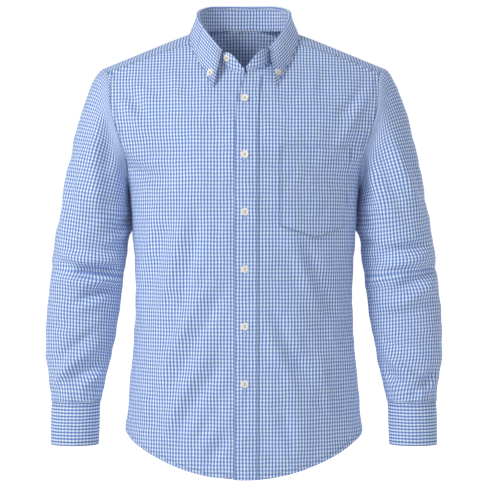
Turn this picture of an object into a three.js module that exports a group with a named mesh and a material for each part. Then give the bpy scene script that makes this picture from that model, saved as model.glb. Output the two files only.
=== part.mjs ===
// A long-sleeved button-down shirt in thin cloth, filled out as if worn, with nobody in it.
// Millimetres, +Z up, the front faces -Y and the wearer's left is +X.
// The origin is the middle of the neck base, level with the tops of the shoulders.

import * as THREE from 'three';

// Walls and gaps
const clothWall = 1.2;
const bandWall = 1.6; // stand and cuffs, several layers of cloth
const leafWall = 1.4;
const seamGap = 0.3; // between pieces that are sewn edge to edge
const endGap = 0.5; // where a sleeve or the collar meets the body, and a sleeve its cuff
const lapGap = 0.5; // between pieces that lie on each other
const pocketGap = 0.8;
const leafClearance = 1.8; // under the collar leaf

// Front opening
const leftEdge = -15.5; // edge of the left front, past the middle
const rightEdge = -19; // edge of the right front, past the middle on its own side
const placketWidth = 37.5;
const placketDrop = 2.5; // the placket stops this far below the collar stand
const flareHeight = 7; // how far the top of the left front lifts open
const flareWidth = 22;
const neckShift = 2.5; // how far the open neck hangs over to the wearer's left

// Collar
const rollRadius = 3;
const riseToFold = 6; // the leaf is sewn to the stand this far below the fold

// Buttons
const frontButton = { radius: 6.2, thickness: 2.2, gap: 0.35, count: 6, x: 1.5, top: -118.5, spacing: 93.6 };
const standButton = { radius: 5.8, thickness: 2.2, gap: 0.6, x: -28.5, z: -50 };
const collarButton = { radius: 5.2, thickness: 2, gap: 0.6, x: 56, z: -74.5 };
const cuffButton = { radius: 5.5, thickness: 2.2, gap: 0.8 };
const holeRadius = 0.9;
const holeOffset = 1.7;

// Pocket outline in front view: two corners at the top, two at the bottom and a point between them
const pocket = { left: 58.5, rightTop: 178, rightLow: 166, top: -198, low: -328, point: -348, tip: 0.46 };

// Sleeves
const capFullness = 0.42; // how strongly the sleeve head leaves the armhole, as a share of its length
const capDrop = 0.95;
const gatherCount = 6;
const gatherDepth = 1.5;
const gatherReach = 45;
const pitFold = { angle: 215, spread: 26, z: -306, reach: 44, depth: 18 }; // hangs behind the armpit
const cuffTop = -622;
const cuffLow = -695.5;
const cuffLap = { start: 255, end: 285 }; // degrees round the wrist from its outer side, past the front
const sleevePlacket = { start: 262, end: 292, height: 140, gap: 1.1 };

const clothColour = 0xadbfe2;
const buttonColour = 0xe6e1d8;

// The half torso is one loft from the front hem over the shoulder to the back hem.
// inner: end on the middle line or the neckline, with the handle lead.
// outer: end on the side seam or the armhole, with the handle trail.
const torsoRows = [
  { name: 'frontHem', inner: [0, -124, -743], lead: [112, 0, 0], trail: [1, -66, -10], outer: [200.3, 0, -672] },
  { name: 'frontLow', inner: [0, -124, -691], lead: [112, 0, 0], trail: [1, -66, -5], outer: [197.5, 0, -640] },
  { name: 'frontHip', inner: [0, -124, -625], lead: [110, 0, 0], trail: [0, -66, -2], outer: [194, 0, -600] },
  { name: 'frontBelly', inner: [0, -123, -550], lead: [108, 0, 0], trail: [0, -65, 0], outer: [188.7, 0, -545] },
  { name: 'frontWaist', inner: [0, -121, -440], lead: [105, 0, 0], trail: [0, -64, 0], outer: [184, 0, -440] },
  { name: 'frontRibs', inner: [0, -126, -345], lead: [110, 0, 0], trail: [0, -66, 0], outer: [188.5, 0, -345] },
  { name: 'frontUnderarm', inner: [0, -130, -264], lead: [114, 0, 0], trail: [1, -66, 0], outer: [195, 0, -262] },
  { name: 'chest1', inner: [0, -131, -248], lead: [106, 0, 0], trail: [-7, -60, 1], outer: [195.3, -12, -256.5] },
  { name: 'chest2', inner: [0, -131, -232], lead: [100, 0, 0], trail: [-16, -50, 2], outer: [195.8, -26, -243] },
  { name: 'chest3', inner: [0, -130, -212], lead: [95, 0, 0], trail: [-25, -45, 3], outer: [197.5, -40, -221] },
  { name: 'chest4', inner: [0, -126, -186], lead: [90, 0, 0], trail: [-35, -39, 4], outer: [202, -52, -199] },
  { name: 'chest5', inner: [0, -118, -157], lead: [88, 0, -2], trail: [-45, -33, 6], outer: [208.5, -60, -178] },
  { name: 'chest6', inner: [0, -107, -126], lead: [84, -2, -5], trail: [-51, -26, 9], outer: [216, -62, -155] },
  { name: 'chest7', inner: [0, -95.5, -99], lead: [80, -2, -8], trail: [-56, -20, 12], outer: [220.5, -60, -137] },
  { name: 'neckFront', inner: [0, -83, -74], lead: [72, -4, -12], trail: [-60, -16, 15], outer: [223, -55, -119] },
  { name: 'neck1', inner: [24, -78, -68.5], lead: [62, -3, -12], trail: [-60, -13, 16], outer: [224, -50, -105] },
  { name: 'neck2', inner: [46, -65, -53], lead: [55, -2, -13], trail: [-60, -10, 17], outer: [224.5, -45, -93] },
  { name: 'neck3', inner: [61, -50, -35], lead: [52, -2, -15], trail: [-58, -8, 18], outer: [226, -38, -82] },
  { name: 'frontSeam', inner: [72, -33, -17], lead: [48, -1, -10], trail: [-55, -2, 21.5], outer: [229, -28, -69] },
  { name: 'shoulder1', inner: [77, -16, -6], lead: [48, 0, -13], trail: [-52, 0, 21], outer: [233, -14, -62] },
  { name: 'ridge', inner: [78, 2, 2.5], lead: [48, 0, -15], trail: [-52, 0, 21], outer: [236, 0, -59] },
  { name: 'shoulder2', inner: [73.5, 24, 7.5], lead: [50, 5, -14], trail: [-54, 6, 21], outer: [235, 13, -61.5] },
  { name: 'shoulder3', inner: [59, 45, 10], lead: [52, 6, -14], trail: [-58, 14, 21], outer: [232.5, 24, -69] },
  { name: 'shoulder4', inner: [33, 60, 11.5], lead: [58, 8, -14], trail: [-66, 22, 21], outer: [230, 32, -76.5] },
  { name: 'neckBack', inner: [0, 64, 12], lead: [62, 2, -12], trail: [-72, 28, 20], outer: [228, 38.5, -84] },
  { name: 'yokeMid', inner: [0, 84, -38], lead: [74, 2, -6], trail: [-74, 32, 12], outer: [226.5, 43.5, -91] },
  { name: 'backSeam', inner: [0, 98, -88], lead: [80, 2, -3], trail: [-69, 31, 6], outer: [225, 48, -98] },
  { name: 'back1', inner: [0, 108, -130], lead: [82, 2, 0], trail: [-62, 31, 4], outer: [220, 57, -122] },
  { name: 'back2', inner: [0, 114.5, -166], lead: [84, 2, 0], trail: [-54, 33, 3], outer: [213.5, 62, -147] },
  { name: 'back3', inner: [0, 118, -200], lead: [86, 1, 0], trail: [-42, 36, 2], outer: [205.5, 60, -179] },
  { name: 'back4', inner: [0, 118.5, -228], lead: [88, 0, 0], trail: [-28, 42, 1], outer: [198.8, 48, -212] },
  { name: 'back5', inner: [0, 118, -248], lead: [92, 0, 0], trail: [-17, 46, 1], outer: [196, 30, -239] },
  { name: 'back6', inner: [0, 117, -262], lead: [99, 0, 0], trail: [-8, 53, 1], outer: [195.3, 13, -256] },
  { name: 'backUnderarm', inner: [0, 116, -274], lead: [106, 0, 0], trail: [1, 58, 0], outer: [195, 0, -262] },
  { name: 'backRibs', inner: [0, 110, -350], lead: [104, 0, 0], trail: [0, 60, 0], outer: [188.5, 0, -345] },
  { name: 'backWaist', inner: [0, 105, -442], lead: [102, 0, 0], trail: [0, 58, 0], outer: [184, 0, -440] },
  { name: 'backBelly', inner: [0, 109, -550], lead: [104, 0, 0], trail: [0, 60, 0], outer: [188.7, 0, -545] },
  { name: 'backHip', inner: [0, 115, -630], lead: [108, 0, 0], trail: [0, 62, -3], outer: [194, 0, -600] },
  { name: 'backLow', inner: [0, 119, -702], lead: [110, 0, 0], trail: [1, 63, -8], outer: [197.5, 0, -640] },
  { name: 'backHem', inner: [0, 121, -756], lead: [112, 0, 0], trail: [1, 64, -14], outer: [200.3, 0, -672] },
];

// Broad folds of the torso: where each is centred, how far it runs across and up, how far its top
// leans out to the side, and how far it stands proud (hollows are negative).
const torsoFolds = [
  { face: -1, x: -118, z: -640, across: 20, up: 90, lean: -14, depth: 3.5 },
  { face: -1, x: -62, z: -665, across: 17, up: 70, lean: -6, depth: -2.5 },
  { face: -1, x: 96, z: -650, across: 22, up: 85, lean: 12, depth: 3 },
  { face: -1, x: 140, z: -470, across: 20, up: 60, lean: 26, depth: -2.5 },
  { face: -1, x: -140, z: -480, across: 20, up: 60, lean: -28, depth: -3 },
  { face: 1, x: -96, z: -560, across: 20, up: 130, lean: -14, depth: 5 },
  { face: 1, x: -40, z: -600, across: 18, up: 110, lean: 5, depth: -4 },
  { face: 1, x: 52, z: -540, across: 20, up: 120, lean: 10, depth: 4.5 },
  { face: 1, x: 112, z: -590, across: 20, up: 110, lean: 14, depth: -4 },
  { face: 1, x: 150, z: -250, across: 18, up: 60, lean: 22, depth: 3.5 },
  { face: 1, x: -148, z: -262, across: 18, up: 60, lean: -24, depth: 3.5 },
];

// Where the two front edges lie near the open neck, each measured on its own side
const edgeRows = [
  { name: 'chest5', left: leftEdge, right: rightEdge },
  { name: 'chest6', left: -13.5, right: -17.5 },
  { name: 'chest7', left: -7, right: -10 },
  { name: 'neckFront', left: 3, right: 0 },
];

// The collar, row by row along the neckline from the front to the middle of the back.
// crest: top of the stand, or the fold once the leaf begins. edge: lower edge of the leaf.
const collarRows = [
  { at: 14, crest: [1, -83, -68.5] },
  { at: 14.4, crest: [10, -82.5, -57.5] },
  { at: 14.8, crest: [20, -80, -45.5] },
  { at: 15.2, crest: [28.5, -76, -38.5] },
  { at: 15.6, crest: [37, -70.5, -33.5], edge: [52.3, -98, -95] },
  { at: 16.4, crest: [48.5, -61, -19.5], edge: [63, -86, -76] },
  { at: 17.2, crest: [59.5, -49, -4.5], edge: [74, -74, -56] },
  { at: 18, crest: [68, -35, 9], edge: [83, -60, -39] },
  { at: 19, crest: [74, -17, 21], edge: [91, -36, -18] },
  { at: 20, crest: [76.5, 5, 36], edge: [91.5, 5, 0] },
  { at: 21, crest: [72.5, 27, 45.5], edge: [86.5, 34, -1] },
  { at: 22, crest: [58.5, 46, 52.5], edge: [69, 59, 2] },
  { at: 23, crest: [32.5, 59, 54.7], edge: [38, 76, 5] },
  { at: 24, crest: [0, 62, 55], edge: [0, 81, 6] },
];

// Sleeve rings from the biceps to the end of the cuff: middle, half width and half depth
const sleeveRings = [
  { name: 'biceps', middle: [252.5, 0, -290], wide: 55.5, deep: 64 },
  { name: 'upper', middle: [259.5, 3, -345], wide: 60, deep: 57 },
  { name: 'aboveElbow', middle: [264.5, 5, -388], wide: 62.5, deep: 53 },
  { name: 'elbow', middle: [266, 5, -406], wide: 61, deep: 50 },
  { name: 'belowElbow', middle: [268.5, 5, -424], wide: 62, deep: 50.5 },
  { name: 'forearm1', middle: [273, 4, -462], wide: 61, deep: 48.5 },
  { name: 'forearm2', middle: [277.5, 3, -505], wide: 59, deep: 46 },
  { name: 'forearm3', middle: [281.5, -1, -548], wide: 55, deep: 43 },
  { name: 'wrist1', middle: [282.5, -4, -586], wide: 47.5, deep: 41 },
  { name: 'wrist2', middle: [283.5, -6, -608], wide: 43.2, deep: 39 },
  { name: 'cuffTop', middle: [284.5, -7, cuffTop], wide: 41, deep: 38 },
  { name: 'cuffLow', middle: [286.3, -12, cuffLow], wide: 40.5, deep: 37.5 },
];

const vector = (xyz) => new THREE.Vector3(...xyz);
const smooth = (value) => THREE.MathUtils.smoothstep(value, 0, 1);
const bell = (value) => Math.exp(-value * value);
const lerp = THREE.MathUtils.lerp;
const radians = THREE.MathUtils.degToRad;

// Splines through the rows of a table

// A smooth path through points whose spacing may be uneven; it may turn sharply at its corners.
function splineThrough(points, corners = []) {
  const last = points.length - 1;
  const spans = [];
  const slopes = [];
  for (let k = 0; k < last; k += 1) {
    const span = Math.max(points[k].distanceTo(points[k + 1]), 1);
    spans.push(span);
    slopes.push(points[k + 1].clone().sub(points[k]).divideScalar(span));
  }
  const tangent = (k, after) => {
    if (k === 0) return slopes[0];
    if (k === last) return slopes[last - 1];
    if (corners.includes(k)) return slopes[after ? k : k - 1];
    const before = spans[k - 1];
    const next = spans[k];
    return slopes[k].clone().multiplyScalar(before).addScaledVector(slopes[k - 1], next)
      .divideScalar(before + next);
  };
  return (at) => {
    const k = Math.min(Math.max(Math.floor(at), 0), last - 1);
    const f = Math.min(Math.max(at - k, 0), 1);
    const start = tangent(k, true).clone().multiplyScalar(spans[k]);
    const end = tangent(k + 1, false).clone().multiplyScalar(spans[k]);
    return hermite(points[k], start, points[k + 1], end, f);
  };
}

function hermite(from, leaving, to, arriving, f) {
  const g = 1 - f;
  return from.clone().multiplyScalar(g * g * (1 + 2 * f))
    .addScaledVector(leaving, f * g * g)
    .addScaledVector(to, f * f * (3 - 2 * f))
    .addScaledVector(arriving, -f * f * g);
}

function bezier(a, b, c, d, f) {
  const g = 1 - f;
  return a.clone().multiplyScalar(g * g * g)
    .addScaledVector(b, 3 * g * g * f)
    .addScaledVector(c, 3 * g * f * f)
    .addScaledVector(d, f * f * f);
}

// The torso surface, which is the outer face of the cloth

const rowAt = (name) => torsoRows.findIndex((row) => row.name === name);
const row = {
  hem: rowAt('frontHem'),
  underarm: rowAt('frontUnderarm'),
  neck: rowAt('neckFront'),
  frontSeam: rowAt('frontSeam'),
  ridge: rowAt('ridge'),
  neckBack: rowAt('neckBack'),
  backSeam: rowAt('backSeam'),
  backUnderarm: rowAt('backUnderarm'),
};
const innerCorners = [row.neck, row.neckBack];
const outerCorners = [row.underarm, row.backUnderarm];
const innerPath = splineThrough(torsoRows.map((r) => vector(r.inner)), innerCorners);
const leadPath = splineThrough(torsoRows.map((r) => vector(r.inner).add(vector(r.lead))), innerCorners);
const trailPath = splineThrough(torsoRows.map((r) => vector(r.outer).add(vector(r.trail))), outerCorners);
const outerPath = splineThrough(torsoRows.map((r) => vector(r.outer)), outerCorners);

function halfTorso(across, level) {
  return bezier(innerPath(level), leadPath(level), trailPath(level), outerPath(level), across);
}

// The open neck hangs a little to the wearer's left.
function settle(p) {
  const high = smooth((p.z + 260) / 160);
  const forward = smooth(-p.y / 40);
  p.x += neckShift * bell(p.x / 70) * high * forward;
  return p;
}

function foldHeight(p, face) {
  let height = 0;
  for (const fold of torsoFolds) {
    if (fold.face !== face) continue;
    const up = (p.z - fold.z) / fold.up;
    const across = (p.x - fold.x - fold.lean * up) / fold.across;
    height += fold.depth * bell(across) * bell(up);
  }
  return height * smooth(Math.abs(p.y) / 50);
}

// side is 1 for the wearer's left; across runs from the middle line (0) to the side seam (1),
// and below 0 it passes the middle line.
function torsoPoint(side, across, level) {
  const p = halfTorso(Math.abs(across), level);
  p.x *= across < 0 ? -side : side;
  const face = Math.sign(p.y);
  p.y += face * foldHeight(p, face);
  return settle(p);
}

function normalOf(surface, across, level, side) {
  const step = 0.004;
  const low = level > row.neck && level < row.neckBack ? Math.max(across - step, 0) : across - step;
  const high = Math.min(across + step, 1);
  const a = surface(high, level).sub(surface(low, level));
  const b = surface(across, level + step).sub(surface(across, level - step));
  return a.cross(b).normalize().multiplyScalar(side);
}

// How far across a half torso reaches a given distance from the middle
function acrossAt(x, level) {
  let low = 0;
  let high = 1;
  for (let k = 0; k < 30; k += 1) {
    const middle = (low + high) / 2;
    if (halfTorso(middle, level).x < x) low = middle;
    else high = middle;
  }
  return (low + high) / 2;
}

function edgeOffset(side, level) {
  const key = side > 0 ? 'left' : 'right';
  const first = rowAt(edgeRows[0].name);
  const f = Math.min(Math.max(level - first, 0), edgeRows.length - 1);
  const k = Math.min(Math.floor(f), edgeRows.length - 2);
  return lerp(edgeRows[k][key], edgeRows[k + 1][key], f - k);
}

function frontStart(side, level) {
  const x = edgeOffset(side, level);
  if (x <= 0 && level <= row.neck) return -acrossAt(-x, level);
  return innerPath(level).x >= x ? 0 : acrossAt(x, level);
}

// The left front lifts open at the top; the right front is tucked under it.
function frontPoint(side, across, level) {
  const surface = (a, b) => torsoPoint(side, a, b);
  const p = surface(across, level);
  const own = halfTorso(Math.abs(across), level).x * Math.sign(across || 1);
  let lift;
  if (side > 0) {
    const opening = smooth((level - row.neck + 3) / 3) * (1 - smooth((level - row.neck) / 3.5));
    lift = flareHeight * opening * Math.exp(-(own - edgeOffset(side, level)) / flareWidth);
  } else {
    lift = -(clothWall + lapGap) * (1 - smooth((own - 40) / 30));
  }
  return p.addScaledVector(normalOf(surface, across, level, side), lift);
}

// Closed solids from sheets of points

// grid[j][i]; the outer face looks along (step in i) x (step in j).
function gridNormals(grid, closed) {
  const rows = grid.length;
  const count = grid[0].length;
  return grid.map((line, j) => line.map((_, i) => {
    const next = closed ? (i + 1) % count : Math.min(i + 1, count - 1);
    const previous = closed ? (i + count - 1) % count : Math.max(i - 1, 0);
    const a = line[next].clone().sub(line[previous]);
    const b = grid[Math.min(j + 1, rows - 1)][i].clone().sub(grid[Math.max(j - 1, 0)][i]);
    return a.cross(b).normalize();
  }));
}

function gridFaces(grid, closed, offset = 0) {
  const count = grid[0].length;
  const faces = [];
  for (let j = 0; j < grid.length - 1; j += 1) {
    for (let i = 0; i < (closed ? count : count - 1); i += 1) {
      const next = (i + 1) % count;
      const a = offset + j * count + i;
      const b = offset + j * count + next;
      faces.push([a, b, b + count], [a, b + count, a + count]);
    }
  }
  return faces;
}

// The outer face as given, the inner face moved in by the wall, and a rim along every open edge
function thicken(points, normals, faces, wall) {
  const count = points.length;
  const inner = points.map((p, k) => p.clone().addScaledVector(normals[k], -wall));
  const index = [];
  const directed = new Set();
  for (const [a, b, c] of faces) {
    index.push(a, b, c, c + count, b + count, a + count);
    directed.add(`${a},${b}`).add(`${b},${c}`).add(`${c},${a}`);
  }
  for (const [a, b, c] of faces) {
    for (const [from, to] of [[a, b], [b, c], [c, a]]) {
      if (directed.has(`${to},${from}`)) continue;
      index.push(to, from, from + count, to, from + count, to + count);
    }
  }
  const geometry = new THREE.BufferGeometry();
  geometry.setAttribute('position', new THREE.Float32BufferAttribute(
    [...points, ...inner].flatMap((p) => [p.x, p.y, p.z]), 3));
  geometry.setIndex(index);
  geometry.computeVertexNormals();
  return geometry;
}

// Draws the outer points of a sheet back from its ends by half a seam gap.
function trimEnds(grid, { low = 0, high = 0, start = 0, end = 0 }) {
  const draw = (p, q, gap) => p.addScaledVector(q.clone().sub(p).normalize(), gap);
  const last = grid.length - 1;
  grid[0].forEach((p, i) => draw(p, grid[1][i], low));
  grid[last].forEach((p, i) => draw(p, grid[last - 1][i], high));
  for (const line of grid) {
    draw(line[0], line[1], start);
    draw(line[line.length - 1], line[line.length - 2], end);
  }
  return grid;
}

function sheet(grid, wall, closed = false, normals = gridNormals(grid, closed)) {
  return thicken(grid.flat(), normals.flat(), gridFaces(grid, closed), wall);
}

const steps = (from, to, count) => Array.from({ length: count + 1 }, (_, k) => lerp(from, to, k / count));
const halfSeam = seamGap / 2;

// The levels at which the torso's pieces have their points; neighbours share them
const bodyLevels = [0, 1, 2, 3, 3.5, 4, 4.5, 5, 5.5, 6];
const chestLevels = steps(row.underarm, row.neck, 6).slice(1);
const neckLevels = steps(row.neck, row.frontSeam, 5).slice(1);
const yokeLevels = steps(row.frontSeam, row.backSeam, row.backSeam - row.frontSeam);
const bladeLevels = steps(row.backSeam, row.backUnderarm, 6);
const tailLevels = [0.5, 1, 1.5, 2, 2.5, 3, 4, 5, 6].map((k) => row.backUnderarm + k);
const frontLevels = [...bodyLevels, ...chestLevels, ...neckLevels];
const backLevels = [...bladeLevels, ...tailLevels];

// Points and normals of a torso surface at each level, running towards the wearer's left
function panel(surface, side, levels, acrossOf) {
  const places = levels.map((level) => {
    const line = acrossOf(level).map((across) => ({ across, level }));
    return side > 0 ? line : line.reverse();
  });
  const grid = places.map((line) => line.map(({ across, level }) => surface(across, level)));
  const normals = places.map((line) => line
    .map(({ across, level }) => normalOf(surface, across, level, side)));
  return { grid, normals };
}

const frontColumns = 13;

function makeFront(side) {
  const surface = (across, level) => frontPoint(side, across, level);
  const acrossOf = (level) => steps(frontStart(side, level), 1, frontColumns);
  const { grid, normals } = panel(surface, side, frontLevels, acrossOf);
  const seams = side > 0 ? { end: halfSeam } : { start: halfSeam };
  return sheet(trimEnds(grid, { high: halfSeam, ...seams }), clothWall, false, normals);
}

function makeBack() {
  const columns = 20;
  const surface = (across, level) => torsoPoint(1, across, level);
  const { grid, normals } = panel(surface, 1, backLevels, () => steps(-1, 1, columns));
  return sheet(trimEnds(grid, { low: halfSeam, start: halfSeam, end: halfSeam }), clothWall, false, normals);
}

// The yoke's two halves share the middle line below the neck.
function makeYoke() {
  const columns = 9;
  const points = [];
  const normals = [];
  const faces = [];
  for (const side of [-1, 1]) {
    const surface = (across, level) => torsoPoint(side, across, level);
    const { grid, normals: turned } = panel(surface, side, yokeLevels, () => steps(0, 1, columns));
    const seams = side > 0 ? { end: halfSeam } : { start: halfSeam };
    trimEnds(grid, { low: halfSeam, high: halfSeam, ...seams });
    const map = grid.flat().map((p, k) => {
      const found = points.findIndex((q) => q.distanceTo(p) < 0.01);
      if (found >= 0) return found;
      points.push(p);
      normals.push(turned.flat()[k]);
      return points.length - 1;
    });
    gridFaces(grid, false).forEach((face) => faces.push(face.map((k) => map[k])));
  }
  return thicken(points, normals, faces, clothWall);
}

// The band on the edge of the left front, moved out from its points
function makePlacket() {
  const levels = [...bodyLevels, ...chestLevels];
  const grid = levels.map((level) => {
    const start = frontStart(1, level);
    const end = acrossAt(edgeOffset(1, level) + placketWidth, level);
    return steps(start, end, 3).map((across) => liftedFront(across, level, lapGap + clothWall));
  });
  trimEnds(grid, { high: placketDrop });
  return sheet(grid, clothWall);
}

function liftedFront(across, level, lift) {
  const surface = (a, b) => frontPoint(1, a, b);
  return surface(across, level).addScaledVector(normalOf(surface, across, level, 1), lift);
}

// The place on the left front at height z, where acrossOf says how far across it is at each level
function locate(acrossOf, z) {
  let low = row.hem;
  let high = row.neck;
  for (let k = 0; k < 30; k += 1) {
    const level = (low + high) / 2;
    if (halfTorso(acrossOf(level), level).z < z) low = level;
    else high = level;
  }
  const level = (low + high) / 2;
  return { across: acrossOf(level), level };
}

// The same place on the flat facets of the left front, moved out
function onFacets({ across, level }, lift) {
  const above = frontLevels.findIndex((k) => k >= level);
  const [low, high] = [frontLevels[above - 1], frontLevels[above]];
  const between = (k) => {
    const start = frontStart(1, k);
    const column = (across - start) / (1 - start) * frontColumns;
    const first = lerp(start, 1, Math.floor(column) / frontColumns);
    const second = lerp(start, 1, (Math.floor(column) + 1) / frontColumns);
    return liftedFront(first, k, lift).lerp(liftedFront(second, k, lift), column % 1);
  };
  return between(low).lerp(between(high), (level - low) / (high - low));
}

function makePocket() {
  const grid = steps(0, 1, 6).map((up) => steps(0, 1, 6).map((along) => {
    const right = lerp(pocket.rightLow, pocket.rightTop, up);
    const acrossOf = (level) => lerp(acrossAt(pocket.left, level), acrossAt(right, level), along);
    const fromTip = Math.max(1 - along / pocket.tip, (along - pocket.tip) / (1 - pocket.tip));
    const bottom = lerp(pocket.point, pocket.low, fromTip);
    const place = locate(acrossOf, lerp(bottom, pocket.top, up));
    return onFacets(place, pocketGap + clothWall);
  }));
  return sheet(grid, clothWall);
}

// Collar

// The neckline's own points, with the lift and tuck of the fronts
function neckPoint(side, level) {
  if (level <= row.frontSeam) return frontPoint(side, frontStart(side, level), level);
  return torsoPoint(side, 0, level);
}

// How far the lift or tuck of a front has moved its neckline
function neckMove(side, level) {
  if (level > row.frontSeam) return new THREE.Vector3();
  return neckPoint(side, level).sub(torsoPoint(side, frontStart(side, level), level));
}

const leafStart = collarRows.find((r) => r.edge).at;

function tableSpline(rows, key) {
  const path = splineThrough(rows.map((r) => vector(r[key])));
  return (at) => {
    let k = rows.findIndex((r) => r.at > at) - 1;
    if (k < 0) k = rows.length - 2;
    return path(k + (at - rows[k].at) / (rows[k + 1].at - rows[k].at));
  };
}

const crestPath = tableSpline(collarRows, 'crest');
const edgePath = tableSpline(collarRows.filter((r) => r.edge), 'edge');

function mirrored(side, path, at) {
  const p = path(at);
  p.x *= side;
  return settle(p);
}

const crestPoint = (side, at) => mirrored(side, crestPath, at).add(neckMove(side, at));

// The stand's direction up from the neckline, along the neckline, and out from the neck
function collarFrame(side, at) {
  const neck = neckPoint(side, at);
  const crest = crestPoint(side, at);
  const up = crest.clone().sub(neck);
  const height = up.length();
  up.normalize();
  const step = 0.05;
  const low = Math.max(at - step, row.neck);
  const high = Math.min(at + step, row.neckBack);
  const along = crestPoint(side, high).sub(crestPoint(side, low));
  if (at >= row.neckBack) along.set(-1, 0, 0);
  const out = along.cross(up).normalize();
  if (side < 0 && at < row.neckBack) out.negate();
  return { neck, crest, up, height, out };
}

function standHeight(frame, at) {
  const leafOn = smooth((at - leafStart + 0.4) / 0.4);
  return frame.height - riseToFold * leafOn;
}

// Runs along the neckline from the left end round the back to the right end
function roundNeck(levels) {
  const left = levels.map((at) => ({ side: 1, at }));
  const right = levels.map((at) => ({ side: -1, at })).reverse().slice(1);
  return [...left, ...right];
}

const shoulderLevels = yokeLevels.filter((at) => at <= row.neckBack);
const standLevels = [...new Set([row.neck, ...neckLevels, ...shoulderLevels])];

function makeStand() {
  const places = roundNeck(standLevels);
  const grid = steps(0, 1, 2).map((f) => places.map(({ side, at }) => {
    const frame = collarFrame(side, at);
    const height = Math.max(standHeight(frame, at), 3);
    return frame.neck.clone().addScaledVector(frame.up, lerp(endGap, height, f));
  }));
  return sheet(grid, bandWall);
}

// Outer points of the fronts and the yoke under the leaf
const bodySamples = [];
for (const side of [-1, 1]) {
  for (const level of steps(row.neck - 3, row.backSeam + 1, 90)) {
    for (const across of steps(0, 1, 40)) {
      const onFront = level < row.frontSeam;
      const surface = onFront
        ? (a, b) => frontPoint(side, a, b)
        : (a, b) => torsoPoint(side, a, b);
      const start = onFront ? Math.max(frontStart(side, level), 0) : 0;
      const place = lerp(start, 1, across);
      bodySamples.push({ point: surface(place, level), normal: normalOf(surface, place, level, side) });
    }
  }
}

function nearestBody(p) {
  let best = bodySamples[0];
  let least = Infinity;
  for (const sample of bodySamples) {
    const distance = sample.point.distanceToSquared(p);
    if (distance < least) {
      least = distance;
      best = sample;
    }
  }
  return best;
}

// Lays a point on the body, or lifts it off when it is too close.
function laidOn(p, clearance, always) {
  const { point, normal } = nearestBody(p);
  const height = p.clone().sub(point).dot(normal);
  if (always || height < clearance) p.addScaledVector(normal, clearance - height);
  return p;
}

const leafLift = leafWall + leafClearance;

// The leaf's face from its seam on the stand (0), over the fold, to its lower edge (1)
function leafPoint(side, at, down) {
  const frame = collarFrame(side, at);
  const inside = -bandWall;
  const onFrame = (out, drop) => frame.crest.clone()
    .addScaledVector(frame.out, out).addScaledVector(frame.up, -drop);
  const seam = riseToFold - lapGap;
  if (down < 0.1) return onFrame(inside, lerp(seam, rollRadius, down / 0.1));
  if (down < 0.35) {
    const turn = Math.PI * (down - 0.1) / 0.25;
    const out = inside + rollRadius * (1 - Math.cos(turn));
    return onFrame(out, rollRadius * (1 - Math.sin(turn)));
  }
  const top = onFrame(inside + 2 * rollRadius, rollRadius);
  const edge = laidOn(mirrored(side, edgePath, at), leafLift, true);
  const fall = top.distanceTo(edge);
  const first = top.clone().addScaledVector(frame.up, -0.35 * fall);
  const second = edge.clone().lerp(top, 0.35);
  const p = bezier(top, first, second, edge, (down - 0.35) / 0.65);
  return laidOn(p, leafLift, false);
}

function makeLeaf() {
  const levels = standLevels.filter((at) => at > leafStart - 0.01);
  const downs = [0, 0.1, 0.1625, 0.225, 0.2875, 0.35, 0.5, 0.65, 0.82, 1];
  const places = roundNeck(levels).reverse();
  const grid = downs.map((down) => places.map(({ side, at }) => leafPoint(side, at, down)));
  return sheet(grid, leafWall);
}

// Sleeves, made for the wearer's left and mirrored

const ringPath = splineThrough(sleeveRings.map((ring) => vector(ring.middle)));
const ringSize = splineThrough(sleeveRings.map((ring) => new THREE.Vector3(ring.wide, ring.deep, 0)));
const ringAt = (name) => sleeveRings.findIndex((ring) => ring.name === name);

// A point at an angle round the arm: 0 is the outer side, a quarter turn is the front
function ringPoint(at, angle, lift = 0) {
  const middle = ringPath(at);
  const size = ringSize(at);
  const down = ringPath(at + 0.01).sub(ringPath(at - 0.01)).normalize();
  if (at >= ringAt('cuffTop')) down.set(0, 0, -1);
  const wide = down.clone().cross(new THREE.Vector3(0, 1, 0)).normalize();
  const deep = down.clone().cross(wide).normalize();
  const slack = bell((angle - radians(pitFold.angle)) / radians(pitFold.spread));
  const fold = pitFold.depth * slack * bell((middle.z - pitFold.z) / pitFold.reach);
  const reach = Math.max(cuffTop + gatherReach - middle.z, 0) / gatherReach;
  const gather = at > ringAt('cuffTop') ? 0 : gatherDepth * reach * (1 - 0.5 * reach);
  const wave = gather * Math.sin(gatherCount * angle + 0.7);
  return middle
    .addScaledVector(wide, (size.x + wave + lift) * Math.cos(angle))
    .addScaledVector(deep, (size.y + wave + lift) * Math.sin(angle))
    .add(new THREE.Vector3(-fold, 0, 0));
}

// Levels round the armhole from the ridge down the front and up the back, with their angles
function armholePlaces() {
  const yokeFront = yokeLevels.filter((k) => k <= row.ridge);
  const front = [...yokeFront, ...neckLevels, ...chestLevels, row.underarm];
  const back = [...yokeLevels.filter((k) => k >= row.ridge), ...bladeLevels];
  const down = [...new Set(front)].sort((a, b) => b - a);
  const up = [...new Set(back)].sort((a, b) => a - b);
  const angles = (levels, from, to) => {
    const reach = [0];
    for (let k = 1; k < levels.length; k += 1) {
      reach.push(reach[k - 1] + outerPath(levels[k]).distanceTo(outerPath(levels[k - 1])));
    }
    const total = reach[reach.length - 1];
    return levels.map((level, k) => ({ level, angle: lerp(from, to, reach[k] / total) }));
  };
  const frontHalf = angles(down, 0, Math.PI);
  const backHalf = angles(up, 2 * Math.PI, Math.PI).reverse();
  return [...frontHalf, ...backHalf.slice(1, -1)];
}

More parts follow.
